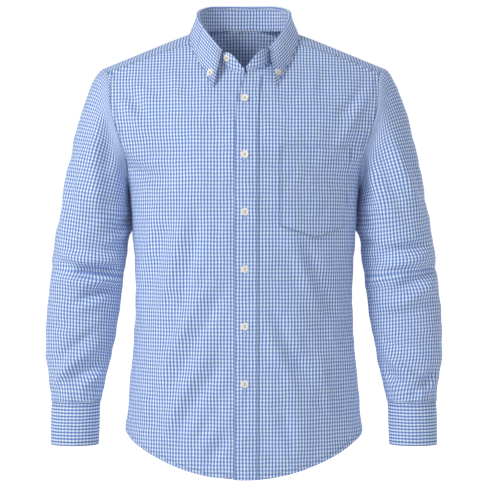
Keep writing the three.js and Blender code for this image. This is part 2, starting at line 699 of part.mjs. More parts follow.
// How the sleeve head leaves the armhole: on along the torso, and outwards under the arm
function capDirection(level, angle) {
  const surface = (a, b) => torsoPoint(1, a, b);
  const normal = normalOf(surface, 1, level, 1);
  const rim = outerPath(level + 0.02).sub(outerPath(level - 0.02));
  const leaving = rim.cross(normal).normalize();
  if (leaving.dot(surface(1, level).sub(surface(0.95, level))) < 0) leaving.negate();
  if (level === row.underarm) leaving.set(0, 0, 1);
  const under = Math.max(-Math.cos(angle), 0) ** 2;
  return leaving.add(new THREE.Vector3(0.7 * under, 0, 0)).normalize();
}

function capPoint(place, down) {
  const direction = capDirection(place.level, place.angle);
  const start = torsoPoint(1, 1, place.level).addScaledVector(direction, endGap);
  const end = ringPoint(0, place.angle);
  const reach = start.distanceTo(end);
  const arriving = ringPath(0.01).sub(ringPath(0)).normalize().multiplyScalar(reach * capDrop);
  return hermite(start, direction.multiplyScalar(reach * capFullness), end, arriving, down);
}

function sideGrid(side, grid) {
  if (side > 0) return grid;
  return grid.map((line) => line.map((p) => p.clone().setX(-p.x)).reverse());
}

function makeSleeve(side) {
  const places = armholePlaces();
  const cap = [0, 0.12, 0.3, 0.5, 0.75].map((down) => places.map((place) => capPoint(place, down)));
  const last = ringAt('cuffTop');
  const rings = steps(0, last, last).map((at) => places.map(({ angle }) => ringPoint(at, angle)));
  const grid = [...cap, ...rings];
  rings[last].forEach((p) => p.setZ(p.z + endGap));
  return sheet(sideGrid(side, grid), clothWall, true);
}

// A band whose outer end laps over its inner end at the back of the wrist
function makeCuff(side) {
  const top = ringAt('cuffTop');
  const low = ringAt('cuffLow');
  const start = radians(cuffLap.start - 360);
  const end = radians(cuffLap.end);
  const lapped = bandWall + lapGap;
  const lapping = radians(25);
  const angles = steps(start, end, 28);
  const lapStart = start + 2 * Math.PI;
  const outset = (angle) => lapped * smooth((angle - lapStart + lapping) / lapping);
  const grid = [top, (top + low) / 2, low]
    .map((at) => angles.map((angle) => ringPoint(at, angle, outset(angle))));
  return sheet(sideGrid(side, grid), bandWall);
}

function makeSleevePlacket(side) {
  const first = radians(sleevePlacket.start);
  const last = radians(sleevePlacket.end);
  const bottom = ringAt('cuffTop');
  let top = bottom;
  while (ringPath(top).z < cuffTop + sleevePlacket.height) top -= 0.02;
  const levels = steps(top, bottom - 0.25, 7);
  const grid = levels.map((at) => steps(first, last, 3)
    .map((angle) => ringPoint(at, angle, sleevePlacket.gap + clothWall)));
  return sheet(sideGrid(side, grid), clothWall);
}

// Buttons

function buttonGeometry({ radius, thickness }) {
  const shape = new THREE.Shape();
  shape.absarc(0, 0, radius, 0, 2 * Math.PI, false);
  for (let k = 0; k < 4; k += 1) {
    const turn = (k + 0.5) * Math.PI / 2;
    const hole = new THREE.Path();
    const [x, y] = [holeOffset * Math.cos(turn), holeOffset * Math.sin(turn)];
    hole.absarc(x, y, holeRadius, 0, 2 * Math.PI, true);
    shape.holes.push(hole);
  }
  return new THREE.ExtrudeGeometry(shape, { depth: thickness, bevelEnabled: false, curveSegments: 5 });
}

// A button that stands on a surface point, facing along its normal
function makeButton(size, point, normal) {
  const mesh = new THREE.Mesh(buttonGeometry(size), buttonFinish());
  mesh.position.copy(point).addScaledVector(normal, size.gap);
  mesh.quaternion.setFromUnitVectors(new THREE.Vector3(0, 0, 1), normal);
  return mesh;
}

function surfaceNormal(surface, a, b) {
  const step = 0.02;
  const across = surface(a + step, b).sub(surface(a - step, b));
  const along = surface(a, b + step).sub(surface(a, b - step));
  return across.cross(along).normalize();
}

// Searches a collar surface for the place seen at x and z from straight ahead
function findPlace(surface, ranges, x, z) {
  let best = null;
  let least = Infinity;
  for (const a of steps(...ranges.at, 50)) {
    for (const b of steps(...ranges.down, 50)) {
      const p = surface(a, b);
      const miss = Math.hypot(p.x - x, p.z - z);
      if (miss < least) {
        least = miss;
        best = { a, b };
      }
    }
  }
  return best;
}

function frontButtonMesh(k) {
  const z = frontButton.top - frontButton.spacing * k;
  const place = locate((level) => acrossAt(frontButton.x, level), z);
  const surface = (a, b) => frontPoint(1, a, b);
  const normal = normalOf(surface, place.across, place.level, 1);
  const point = surface(place.across, place.level).addScaledVector(normal, lapGap + clothWall);
  return makeButton(frontButton, point, normal);
}

function standButtonMesh() {
  const surface = (at, up) => {
    const frame = collarFrame(-1, at);
    return frame.neck.clone().addScaledVector(frame.up, up * frame.height);
  };
  const ranges = { at: [row.neck + 0.2, leafStart], down: [0.1, 0.9] };
  const place = findPlace(surface, ranges, standButton.x, standButton.z);
  const normal = surfaceNormal(surface, place.a, place.b);
  if (normal.y > 0) normal.negate();
  return makeButton(standButton, surface(place.a, place.b), normal);
}

function collarButtonMesh(side) {
  const surface = (at, down) => leafPoint(side, at, down);
  const ranges = { at: [leafStart + 0.1, row.frontSeam], down: [0.5, 0.98] };
  const place = findPlace(surface, ranges, side * collarButton.x, collarButton.z);
  const normal = surfaceNormal(surface, place.a, place.b);
  if (normal.y > 0) normal.negate();
  return makeButton(collarButton, surface(place.a, place.b), normal);
}

function cuffButtonMesh(side) {
  const at = (ringAt('cuffTop') + ringAt('cuffLow')) / 2;
  const angle = radians((cuffLap.start + cuffLap.end) / 2);
  const point = ringPoint(at, angle, bandWall + lapGap);
  const size = ringSize(at);
  const normal = new THREE.Vector3(Math.cos(angle) / size.x, -Math.sin(angle) / size.y, 0).normalize();
  if (side < 0) {
    point.setX(-point.x);
    normal.setX(-normal.x);
  }
  return makeButton(cuffButton, point, normal);
}

const finish = (color, roughness) => new THREE.MeshStandardMaterial({ color, roughness, metalness: 0 });
const clothFinish = () => finish(clothColour, 0.85);
const buttonFinish = () => finish(buttonColour, 0.35);

const group = new THREE.Group();

function addCloth(name, geometry) {
  const mesh = new THREE.Mesh(geometry, clothFinish());
  mesh.name = name;
  group.add(mesh);
}

function addButton(name, mesh) {
  mesh.name = name;
  group.add(mesh);
}

addCloth('back', makeBack());
addCloth('yoke', makeYoke());
addCloth('placket', makePlacket());
addCloth('pocket', makePocket());
addCloth('collar_stand', makeStand());
addCloth('collar_leaf', makeLeaf());
for (const [name, side] of [['left', 1], ['right', -1]]) {
  addCloth(`front_${name}`, makeFront(side));
  addCloth(`sleeve_${name}`, makeSleeve(side));
  addCloth(`sleeve_placket_${name}`, makeSleevePlacket(side));
  addCloth(`cuff_${name}`, makeCuff(side));
  addButton(`button_collar_${name}`, collarButtonMesh(side));
  addButton(`button_cuff_${name}`, cuffButtonMesh(side));
}
for (let k = 0; k < frontButton.count; k += 1) addButton(`button_front_${k + 1}`, frontButtonMesh(k));
addButton('button_stand', standButtonMesh());

export default group;
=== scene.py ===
# A long-sleeved button-down shirt in fine gingham poplin, filled out as if worn, with nobody in it.
# The front faces -Y and the wearer's left is +X. Tables are in millimetres, what is built in metres.
import math
from functools import partial

import bmesh
import bpy
import numpy as np
from mathutils import Matrix, Vector
from mathutils.bvhtree import BVHTree


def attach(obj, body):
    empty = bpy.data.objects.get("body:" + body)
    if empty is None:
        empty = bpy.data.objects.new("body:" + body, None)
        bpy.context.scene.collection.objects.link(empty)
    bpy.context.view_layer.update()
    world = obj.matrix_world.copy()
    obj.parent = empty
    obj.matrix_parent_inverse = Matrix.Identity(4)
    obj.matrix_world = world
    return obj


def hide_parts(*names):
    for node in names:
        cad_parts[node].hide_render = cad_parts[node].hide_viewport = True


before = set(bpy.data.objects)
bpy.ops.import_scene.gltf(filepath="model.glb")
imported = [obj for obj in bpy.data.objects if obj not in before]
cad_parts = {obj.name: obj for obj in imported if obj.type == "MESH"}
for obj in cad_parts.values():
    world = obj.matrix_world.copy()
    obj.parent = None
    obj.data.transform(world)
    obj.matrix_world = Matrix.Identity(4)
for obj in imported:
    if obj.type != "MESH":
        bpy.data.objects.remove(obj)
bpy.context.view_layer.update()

mm = 0.001
print("packed model loaded")

cloth = {
    "wall": 0.9,
    "fine": 3.2,  # size of the mesh's squares on the large panels
    "lap": 1.7,  # one piece lies on another this far out
    "repeatAcross": 5.4,
    "repeatAlong": 6.2,
    "creaseDepth": 1.3,  # how strongly every crease shows
    "neckShift": 2.5,
}

# The half torso is one loft from the front hem over the shoulder to the back hem.
# inner: end on the middle line or the neckline, with the handle lead.
# outer: end on the side seam or the armhole, with the handle trail.
torsoRows = [
    ("frontHem", (0, -124, -743), (112, 0, 0), (1, -66, -10), (200.3, 0, -672)),
    ("frontLow", (0, -124, -691), (112, 0, 0), (1, -66, -5), (197.5, 0, -640)),
    ("frontHip", (0, -124, -625), (110, 0, 0), (0, -66, -2), (194, 0, -600)),
    ("frontBelly", (0, -123, -550), (108, 0, 0), (0, -65, 0), (188.7, 0, -545)),
    ("frontWaist", (0, -121, -440), (105, 0, 0), (0, -64, 0), (184, 0, -440)),
    ("frontRibs", (0, -126, -345), (110, 0, 0), (0, -66, 0), (188.5, 0, -345)),
    ("frontUnderarm", (0, -130, -264), (114, 0, 0), (1, -66, 0), (195, 0, -262)),
    ("chest1", (0, -131, -248), (106, 0, 0), (-7, -60, 1), (195.3, -12, -256.5)),
    ("chest2", (0, -131, -232), (100, 0, 0), (-16, -50, 2), (195.8, -26, -243)),
    ("chest3", (0, -130, -212), (95, 0, 0), (-25, -45, 3), (197.5, -40, -221)),
    ("chest4", (0, -126, -186), (90, 0, 0), (-35, -39, 4), (202, -52, -199)),
    ("chest5", (0, -118, -157), (88, 0, -2), (-45, -33, 6), (208.5, -60, -178)),
    ("chest6", (0, -107, -126), (84, -2, -5), (-51, -26, 9), (216, -62, -155)),
    ("chest7", (0, -95.5, -99), (80, -2, -8), (-56, -20, 12), (220.5, -60, -137)),
    ("neckFront", (0, -83, -74), (72, -4, -12), (-60, -16, 15), (223, -55, -119)),
    ("neck1", (24, -78, -68.5), (62, -3, -12), (-60, -13, 16), (224, -50, -105)),
    ("neck2", (46, -65, -53), (55, -2, -13), (-60, -10, 17), (224.5, -45, -93)),
    ("neck3", (61, -50, -35), (52, -2, -15), (-58, -8, 18), (226, -38, -82)),
    ("frontSeam", (72, -33, -17), (48, -1, -10), (-55, -2, 21.5), (229, -28, -69)),
    ("shoulder1", (77, -16, -6), (48, 0, -13), (-52, 0, 21), (233, -14, -62)),
    ("ridge", (78, 2, 2.5), (48, 0, -15), (-52, 0, 21), (236, 0, -59)),
    ("shoulder2", (73.5, 24, 7.5), (50, 5, -14), (-54, 6, 21), (235, 13, -61.5)),
    ("shoulder3", (59, 45, 10), (52, 6, -14), (-58, 14, 21), (232.5, 24, -69)),
    ("shoulder4", (33, 60, 11.5), (58, 8, -14), (-66, 22, 21), (230, 32, -76.5)),
    ("neckBack", (0, 64, 12), (62, 2, -12), (-72, 28, 20), (228, 38.5, -84)),
    ("yokeMid", (0, 84, -38), (74, 2, -6), (-74, 32, 12), (226.5, 43.5, -91)),
    ("backSeam", (0, 98, -88), (80, 2, -3), (-69, 31, 6), (225, 48, -98)),
    ("back1", (0, 108, -130), (82, 2, 0), (-62, 31, 4), (220, 57, -122)),
    ("back2", (0, 114.5, -166), (84, 2, 0), (-54, 33, 3), (213.5, 62, -147)),
    ("back3", (0, 118, -200), (86, 1, 0), (-42, 36, 2), (205.5, 60, -179)),
    ("back4", (0, 118.5, -228), (88, 0, 0), (-28, 42, 1), (198.8, 48, -212)),
    ("back5", (0, 118, -248), (92, 0, 0), (-17, 46, 1), (196, 30, -239)),
    ("back6", (0, 117, -262), (99, 0, 0), (-8, 53, 1), (195.3, 13, -256)),
    ("backUnderarm", (0, 116, -274), (106, 0, 0), (1, 58, 0), (195, 0, -262)),
    ("backRibs", (0, 110, -350), (104, 0, 0), (0, 60, 0), (188.5, 0, -345)),
    ("backWaist", (0, 105, -442), (102, 0, 0), (0, 58, 0), (184, 0, -440)),
    ("backBelly", (0, 109, -550), (104, 0, 0), (0, 60, 0), (188.7, 0, -545)),
    ("backHip", (0, 115, -630), (108, 0, 0), (0, 62, -3), (194, 0, -600)),
    ("backLow", (0, 119, -702), (110, 0, 0), (1, 63, -8), (197.5, 0, -640)),
    ("backHem", (0, 121, -756), (112, 0, 0), (1, 64, -14), (200.3, 0, -672)),
]
row = {name: k for k, (name, *ends) in enumerate(torsoRows)}


def smooth(value):
    value = np.clip(value, 0, 1)
    return value * value * (3 - 2 * value)


def bell(value):
    return np.exp(-value * value)


def lerp(a, b, f):
    return a + (b - a) * f


def unit(vectors):
    length = np.linalg.norm(vectors, axis=-1, keepdims=True)
    return vectors / np.maximum(length, 1e-9)


def dot(a, b):
    return (a * b).sum(-1, keepdims=True)


def runningLength(points):  # how far along its first axis each point of a line or grid lies
    gaps = np.linalg.norm(np.diff(points, axis=0), axis=-1)
    return np.concatenate([np.zeros((1, *gaps.shape[1:])), np.cumsum(gaps, axis=0)])


def hermite(start, leaving, end, arriving, f):
    g = 1 - f
    return (start * g * g * (1 + 2 * f) + leaving * f * g * g
            + end * f * f * (3 - 2 * f) - arriving * f * f * g)


def bezier(a, b, c, d, f):
    g = 1 - f
    return a * g**3 + b * 3 * g * g * f + c * 3 * g * f * f + d * f**3


def splineThrough(points, corners=()):  # a smooth path that may turn sharply at its corners
    points = np.array(points, float)
    steps = np.diff(points, axis=0)
    spans = np.maximum(np.linalg.norm(steps, axis=1), 1)[:, None]
    slopes = steps / spans
    last = len(points) - 1
    middle = (slopes[1:] * spans[:-1] + slopes[:-1] * spans[1:]) / (spans[:-1] + spans[1:])
    leaving = np.vstack([slopes[:1], middle, slopes[-1:]])
    arriving = leaving.copy()
    for k in corners:
        leaving[k] = slopes[k]
        arriving[k] = slopes[k - 1]

    def path(at):
        at = np.asarray(at, float)
        k = np.clip(np.floor(at).astype(int), 0, last - 1)
        f = np.clip(at - k, 0, 1)[..., None]
        return hermite(points[k], leaving[k] * spans[k], points[k + 1], arriving[k + 1] * spans[k], f)
    return path


innerCorners = (row["neckFront"], row["neckBack"])
outerCorners = (row["frontUnderarm"], row["backUnderarm"])
innerPath = splineThrough([r[1] for r in torsoRows], innerCorners)
leadPath = splineThrough([np.add(r[1], r[2]) for r in torsoRows], innerCorners)
trailPath = splineThrough([np.add(r[4], r[3]) for r in torsoRows], outerCorners)
outerPath = splineThrough([r[4] for r in torsoRows], outerCorners)


def halfTorso(across, level):
    across, level = np.broadcast_arrays(np.asarray(across, float), np.asarray(level, float))
    f = across[..., None]
    return bezier(innerPath(level), leadPath(level), trailPath(level), outerPath(level), f)


def settle(points):  # the open neck hangs a little to the wearer's left
    high = smooth((points[..., 2] + 260) / 160)
    forward = smooth(-points[..., 1] / 40)
    points[..., 0] += cloth["neckShift"] * bell(points[..., 0] / 70) * high * forward
    return points


# Broad folds: face, x, z, half width, half height, how far the top leans to the side, depth
broadFolds = [
    (-1, -118, -640, 20, 90, -14, 3.5),
    (-1, -62, -665, 17, 70, -6, -2.5),
    (-1, 96, -650, 22, 85, 12, 3),
    (-1, 140, -470, 20, 60, 26, -2.5),
    (-1, -140, -480, 20, 60, -28, -3),
    (1, -96, -560, 20, 130, -14, 5),
    (1, -40, -600, 18, 110, 5, -4),
    (1, 52, -540, 20, 120, 10, 4.5),
    (1, 112, -590, 20, 110, 14, -4),
    (1, 150, -250, 18, 60, 22, 3.5),
    (1, -148, -262, 18, 60, -24, 3.5),
]


def broadHeight(points):
    x, y, z = points[..., 0], points[..., 1], points[..., 2]
    height = np.zeros(x.shape)
    for face, atX, atZ, wide, tall, lean, depth in broadFolds:
        up = (z - atZ) / tall
        height += depth * bell((x - atX - lean * up) / wide) * bell(up) * (np.sign(y) == face)
    return height * smooth(np.abs(y) / 50)


def torsoPoint(side, across, level):
    points = halfTorso(np.abs(across), level)
    points[..., 0] *= np.where(np.asarray(across) < 0, -side, side)
    points[..., 1] += np.sign(points[..., 1]) * broadHeight(points)
    return settle(points)


def normalOf(surface, across, level, side):
    step = 0.004
    openNeck = (level > row["neckFront"]) & (level < row["neckBack"])
    low = np.where(openNeck, np.maximum(across - step, 0), across - step)
    high = np.minimum(across + step, 1)
    a = surface(high, level) - surface(low, level)
    b = surface(across, level + step) - surface(across, level - step)
    return unit(np.cross(a, b)) * side


halvings = 18  # steps of each search that halves a span


def acrossAt(x, level):  # how far across a half torso reaches a given distance from the middle
    x, level = np.broadcast_arrays(np.asarray(x, float), np.asarray(level, float))
    low, high = np.zeros(level.shape), np.ones(level.shape)
    for _ in range(halvings):
        middle = (low + high) / 2
        inside = halfTorso(middle, level)[..., 0] < x
        low, high = np.where(inside, middle, low), np.where(inside, high, middle)
    return (low + high) / 2


front = {
    "edgeLevels": [row["chest5"], row["chest6"], row["chest7"], row["neckFront"]],
    "leftEdge": [-15.5, -13.5, -7, 3],  # where the left front ends, near the open neck last
    "rightEdge": [-19, -17.5, -10, 0],
    "flareHeight": 7,
    "flareWidth": 22,
    "hemFold": 8,
    "hemRise": 0.5,
    "columns": 82,
    "spineColumn": 44,  # above the chest the cloth is mapped outwards from this column
    "openBelow": 3,  # how many rows below the neckline's front the edge starts to lift
    "openAbove": 3.5,
    "tuck": {"from": 40, "fade": 30},  # how wide the right front's tuck is
}


def edgeOffset(side, level):
    return np.interp(level, front["edgeLevels"], front["leftEdge" if side > 0 else "rightEdge"])


def frontStart(side, level):
    x = edgeOffset(side, level)
    passed = (x <= 0) & (level <= row["neckFront"])
    reach = acrossAt(np.abs(x), level)
    return np.where(passed, -reach, np.where(innerPath(level)[..., 0] >= x, 0, reach))


def frontPoint(side, across, level):  # the left front lifts open at the top, the right is tucked in
    across, level = np.broadcast_arrays(np.asarray(across, float), np.asarray(level, float))
    surface = partial(torsoPoint, side)
    own = halfTorso(np.abs(across), level)[..., 0] * np.sign(across)
    if side > 0:
        past = level - row["neckFront"]
        rising = smooth((past + front["openBelow"]) / front["openBelow"])
        opening = rising * (1 - smooth(past / front["openAbove"]))
        lift = front["flareHeight"] * opening * np.exp(-(own - edgeOffset(side, level)) / front["flareWidth"])
    else:
        tuck = front["tuck"]
        lift = -cloth["lap"] * (1 - smooth((own - tuck["from"]) / tuck["fade"]))
    return surface(across, level) + normalOf(surface, across, level, side) * lift[..., None]


# Creases: depth, half width and the places they run through, seen from the front or the back.
# Hollows are negative.
frontCreases = [
    (2.6, 10, (-133, -262), (-156, -338), (-172, -412), (-180, -470)),
    (-2.0, 9, (-112, -276), (-133, -350), (-150, -426), (-166, -486)),
    (3.4, 10, (-86, -268), (-108, -352), (-130, -438), (-158, -520)),
    (-3.0, 9, (-66, -290), (-84, -372), (-104, -456), (-134, -536)),
    (3.4, 10, (-30, -392), (-70, -443), (-99, -495), (-133, -564), (-154, -636)),
    (-3.0, 9, (-24, -424), (-48, -462), (-77, -513), (-110, -582), (-132, -652)),
    (3.2, 10, (-30, -506), (-70, -554), (-103, -606), (-128, -664), (-140, -712)),
    (-2.8, 9, (-24, -540), (-50, -572), (-83, -622), (-107, -682), (-116, -722)),
    (2.4, 9, (-30, -640), (-58, -676), (-84, -716)),
    (-2.0, 8, (-24, -668), (-44, -694), (-62, -724)),
    (1.8, 10, (-168, -560), (-166, -620), (-160, -680)),
    (2.8, 10, (70, -322), (90, -384), (112, -444), (132, -500)),
    (-2.2, 9, (94, -330), (118, -400), (142, -456), (160, -500)),
    (2.6, 10, (30, -470), (50, -530), (78, -584), (98, -650)),
    (-2.2, 9, (40, -444), (66, -508), (98, -562), (120, -610)),
    (2.2, 10, (120, -520), (134, -590), (146, -660)),
    (-2.0, 10, (178, -400), (172, -480), (164, -560)),
    (1.9, 10, (184, -470), (178, -550), (172, -630)),
    (-1.6, 9, (60, -620), (72, -670), (80, -716)),
    (1.8, 8, (-206, -182), (-184, -206), (-152, -222), (-118, -226)),
    (-1.9, 8, (-202, -214), (-180, -234), (-150, -248), (-122, -250)),
    (2.2, 9, (208, -96), (186, -144), (160, -190), (138, -216)),
    (-2.0, 8, (208, -74), (188, -110), (162, -142), (140, -160)),
    (-1.8, 8, (200, -148), (178, -190), (158, -216), (136, -234)),
    (1.7, 8, (202, -200), (186, -216), (176, -236)),
    (-2.0, 8, (-206, -88), (-178, -126), (-150, -156)),
    (2.0, 8, (-208, -110), (-182, -148), (-152, -180)),
    (1.4, 8, (-192, -76), (-162, -108), (-138, -130)),
    (-1.4, 9, (-150, -190), (-120, -206), (-92, -214)),
    (1.2, 9, (-120, -54), (-112, -100), (-98, -150)),
    (1.2, 9, (122, -54), (114, -96), (102, -140)),
]
backCreases = [
    (2.6, 10, (-186, -235), (-150, -262), (-110, -276), (-70, -280)),
    (-2.4, 10, (-190, -262), (-156, -292), (-118, -312), (-82, -320)),
    (2.6, 10, (186, -230), (152, -258), (114, -272), (78, -276)),
    (-2.5, 11, (190, -266), (158, -298), (122, -318), (90, -330)),
    (2.4, 11, (-176, -330), (-142, -372), (-104, -420), (-74, -486)),
    (-2.4, 11, (-182, -392), (-150, -440), (-116, -500), (-96, -575)),
    (2.4, 11, (178, -340), (146, -384), (108, -438), (82, -505)),
    (-2.3, 11, (182, -404), (152, -452), (122, -512), (104, -590)),
    (2.0, 10, (-30, -400), (-22, -480), (-28, -570), (-24, -680)),
    (-2.0, 10, (10, -440), (16, -520), (12, -600), (18, -700)),
    (2.0, 10, (64, -560), (70, -630), (66, -715)),
    (-1.8, 10, (-66, -590), (-70, -650), (-66, -725)),
    (1.8, 9, (-196, -110), (-190, -150), (-176, -196)),
    (1.8, 9, (196, -112), (190, -154), (178, -198)),
    (-1.6, 9, (-150, -100), (-146, -150), (-136, -200)),
    (-1.6, 9, (150, -100), (144, -146), (138, -190)),
    (1.4, 10, (-64, -96), (-60, -160), (-64, -240)),
    (1.4, 10, (58, -96), (62, -150), (58, -225)),
    (-1.3, 10, (0, -100), (3, -180), (-2, -300)),
    (1.8, 10, (-150, -600), (-142, -655), (-132, -705)),
    (1.7, 10, (148, -590), (140, -650), (134, -700)),
]


def creaseHeight(places, creases):
    flat = places.reshape(-1, 2)
    height = np.zeros(len(flat))
    count = 32
    for depth, width, *path in creases:
        steps = np.linspace(0, len(path) - 1, count)
        line = splineThrough([(a, b, 0) for a, b in path])(steps)[:, :2]
        reach = 3.5 * width
        near = ((flat > line.min(0) - reach) & (flat < line.max(0) + reach)).all(1)
        offsets = flat[near][:, None] - line[None]
        nearest = (offsets**2).sum(2).argmin(1)
        offset = offsets[np.arange(len(nearest)), nearest]
        tangent = unit(np.gradient(line, axis=0))[nearest]
        spacing = np.linalg.norm(np.diff(line, axis=0), axis=1).mean()
        along = (nearest + (offset * tangent).sum(1) / spacing) / (count - 1)
        aside = (tangent[:, 0] * offset[:, 1] - tangent[:, 1] * offset[:, 0]) / width
        taper = smooth(along / 0.35) * smooth((1 - along) / 0.45)
        section = bell(aside) - 0.3 * bell((aside - 1.8) / 1.1) - 0.15 * bell((aside + 1.9) / 1.3)
        height[near] += cloth["creaseDepth"] * depth * section * taper
    return height.reshape(places.shape[:-1])


slackWaves = [(83, 0.4, 0.5), (59, 1.9, 0.4), (41, 2.7, 0.26), (29, 0.9, 0.17), (23, 2.2, 0.12)]


def slack(a, b):  # the gentle unevenness of cloth, in waves of a size, a direction and a depth
    height = np.zeros(np.shape(a))
    for size, turn, depth in slackWaves:
        along = (a * math.cos(turn) + b * math.sin(turn)) / size
        cross = (b * math.cos(turn) - a * math.sin(turn)) / (1.6 * size)
        height += depth * np.sin(2 * math.pi * along + 1.7 * np.sin(2 * math.pi * cross + turn))
    return height


def bodyHeight(points):  # how far the creased cloth stands out from the smooth torso
    x, y, z = points[..., 0], points[..., 1], points[..., 2]
    places = np.stack([x, z], -1)
    height = np.where(y < 0, creaseHeight(places, frontCreases), creaseHeight(places, backCreases))
    height *= smooth(np.abs(y) / 30)
    ends = np.abs(np.arctan2(y, x)) * 150
    height += slack(np.where(x > 0, 1.0, -1.0) * ends, z) * smooth((-60 - z) / 60)
    return height


def clothSurface(side, across, level, lift=0):  # the front's or the back's creased outer face
    isFront = np.max(level) <= row["frontSeam"] + 0.001
    surface = partial(frontPoint if isFront else torsoPoint, side)
    points = surface(across, level)
    normals = normalOf(surface, across, level, side)
    height = bodyHeight(points) + lift
    return points + normals * height[..., None], points, normals


def evenLevels(first, last, across, spacing):
    levels = np.linspace(first, last, 400)
    length = runningLength(halfTorso(across, levels))
    return np.interp(np.linspace(0, length[-1], int(length[-1] / spacing) + 1), length, levels)


def uprightGrain(normals):  # columns of checks hang straight in front view, and rows lie level
    straight = np.stack([np.zeros(normals.shape[:-1]), normals[..., 2], -normals[..., 1]], -1)
    straight = unit(straight) * np.where(straight[..., 2:] < 0, -1, 1)
    plumb = unit(np.array((0, 0, 1.0)) - normals * normals[..., 2:])
    hanging = unit(lerp(straight, plumb, smooth((np.abs(normals[..., :1]) - 0.5) / 0.4)))
    return np.cross(hanging, normals), plumb


def clothMap(points, weft, warp, spine=0):  # where each point lies on the flat cloth
    frames = np.stack([weft, warp], -2)

    def travel(a, b, frameA, frameB):
        return np.einsum("...kx,...x->...k", (frameA + frameB) / 2, b - a)
    across = travel(points[:, :-1], points[:, 1:], frames[:, :-1], frames[:, 1:])
    down = travel(points[:-1], points[1:], frames[:-1], frames[1:])
    places = np.zeros(points.shape[:2] + (2,))
    for j, column in enumerate(np.broadcast_to(spine, len(points))):
        if j > 0:
            places[j, column] = places[j - 1, column] + down[j - 1, column]
        places[j, column + 1:] = places[j, column] + np.cumsum(across[j, column:], axis=0)
        places[j, :column] = places[j, column] - np.cumsum(across[j, :column][::-1], axis=0)[::-1]
    return places


def selectOnly(piece):
    bpy.ops.object.select_all(action="DESELECT")
    piece.select_set(True)
    bpy.context.view_layer.objects.active = piece


def inScene(name, data):
    piece = bpy.data.objects.new(name, data)
    bpy.context.collection.objects.link(piece)
    return piece


outerFaces = {}  # the outer face of each piece, for what is sewn onto it
words = {1: "Left", -1: "Right"}  # the wearer's sides
outerEdges = {1: "right", -1: "left"}  # the edge of a front or a cuff that lies away from the middle
seams = {  # how far in from an edge each kind of stitch row lies
    "edge": 1.6,
    "felled": 7.5,
    "hem": 7,
    "collar": 5.5,
    "cuffJoin": 6.5,
    "band": 1.3,
    "strip": 2,
    "underarm": 3,
}


def edgeDistances(grid, edges):  # signed distances from a piece's edges and from the stitches beside them
    across, down = runningLength(grid.swapaxes(0, 1)).T, runningLength(grid)
    reach = {"left": across, "right": across[:, -1:] - across, "first": down, "last": down[-1:] - down}
    farAway = [np.full(across.shape, 100.0)]
    fromEdge = np.min([reach[edge] for edge in edges] or farAway, axis=0)
    fromStitches = np.min([reach[edge] - edges[edge] for edge in edges] or farAway, axis=0)
    return fromEdge, fromStitches


def addSheet(name, node, parts, wall, closed=False, edges=()):
    outerFaces[name] = [grid for grid, onCloth in parts]
    points, faces, places, base = [], [], [], 0
    measures = {"fromEdge": [], "fromStitches": []}
    for grid, onCloth in parts:
        rows, columns = grid.shape[:2]
        index = base + np.arange(rows * columns).reshape(rows, columns)
        points.append(grid.reshape(-1, 3))
        quads = np.stack([index[:-1, :-1], index[:-1, 1:], index[1:, 1:], index[1:, :-1]], -1).reshape(-1, 4)
        faces.append(quads)
        places.append(onCloth.reshape(-1, 2))
        for values, found in zip(measures.values(), edgeDistances(grid, dict(edges))):
            values.append(found.ravel())
        base += rows * columns
    faces = np.vstack(faces)
    mesh = bpy.data.meshes.new(name)
    mesh.from_pydata(np.vstack(points) * mm, [], faces.tolist())
    layer = mesh.uv_layers.new(name="cloth")
    layer.data.foreach_set("uv", (np.vstack(places)[faces.ravel()] * mm).ravel())
    for attribute, values in measures.items():
        mesh.attributes.new(attribute, "FLOAT", "POINT").data.foreach_set("value", np.concatenate(values))
    if closed or len(parts) > 1:
        joined = bmesh.new()
        joined.from_mesh(mesh)
        bmesh.ops.remove_doubles(joined, verts=joined.verts, dist=0.02 * mm)
        joined.to_mesh(mesh)
        joined.free()
    piece = inScene(name, mesh)
    selectOnly(piece)
    solidify = piece.modifiers.new("wall", "SOLIDIFY")
    solidify.thickness = wall * mm
    solidify.offset = -1
    bpy.ops.object.modifier_apply(modifier=solidify.name)
    bpy.ops.object.shade_smooth_by_angle(angle=math.radians(40))
    piece.data.materials.append(gingham)
    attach(piece, "root")
    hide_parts(node)


class Wiring:  # places nodes in a tree and links values, sockets or constants into them
    def __init__(self, tree):
        self.tree = tree

    def add(self, kind, given=(), **settings):
        node = self.tree.nodes.new(kind)
        for key, value in settings.items():
            setattr(node, key, value)
        self.fill(node, dict(given))
        return node

    def fill(self, node, given):
        for key, value in given.items():
            if isinstance(value, bpy.types.NodeSocket):
                self.tree.links.new(value, node.inputs[key])
            else:
                node.inputs[key].default_value = value

    def math(self, operation, *values):
        return self.add("ShaderNodeMath", enumerate(values), operation=operation).outputs[0]


def newGroup(name, inputs, outputs):
    group = bpy.data.node_groups.new(name, "ShaderNodeTree")
    for title, kind, value in inputs:
        socket = group.interface.new_socket(title, in_out="INPUT", socket_type="NodeSocket" + kind)
        if value is not None:
            socket.default_value = value
    for title, kind in outputs:
        group.interface.new_socket(title, in_out="OUTPUT", socket_type="NodeSocket" + kind)
    wiring = Wiring(group)
    return group, wiring, wiring.add("NodeGroupInput").outputs, wiring.add("NodeGroupOutput")


def blend(wiring, factor, a, b, **settings):  # a colour between a and b
    mix = wiring.add("ShaderNodeMix", {0: factor, 6: a, 7: b}, data_type="RGBA", **settings)
    return mix.outputs[2]


def noiseOf(wiring, place, scale, detail, **more):
    given = {"Vector": place, "Scale": scale, "Detail": detail, **more}
    return wiring.add("ShaderNodeTexNoise", given).outputs["Fac"]


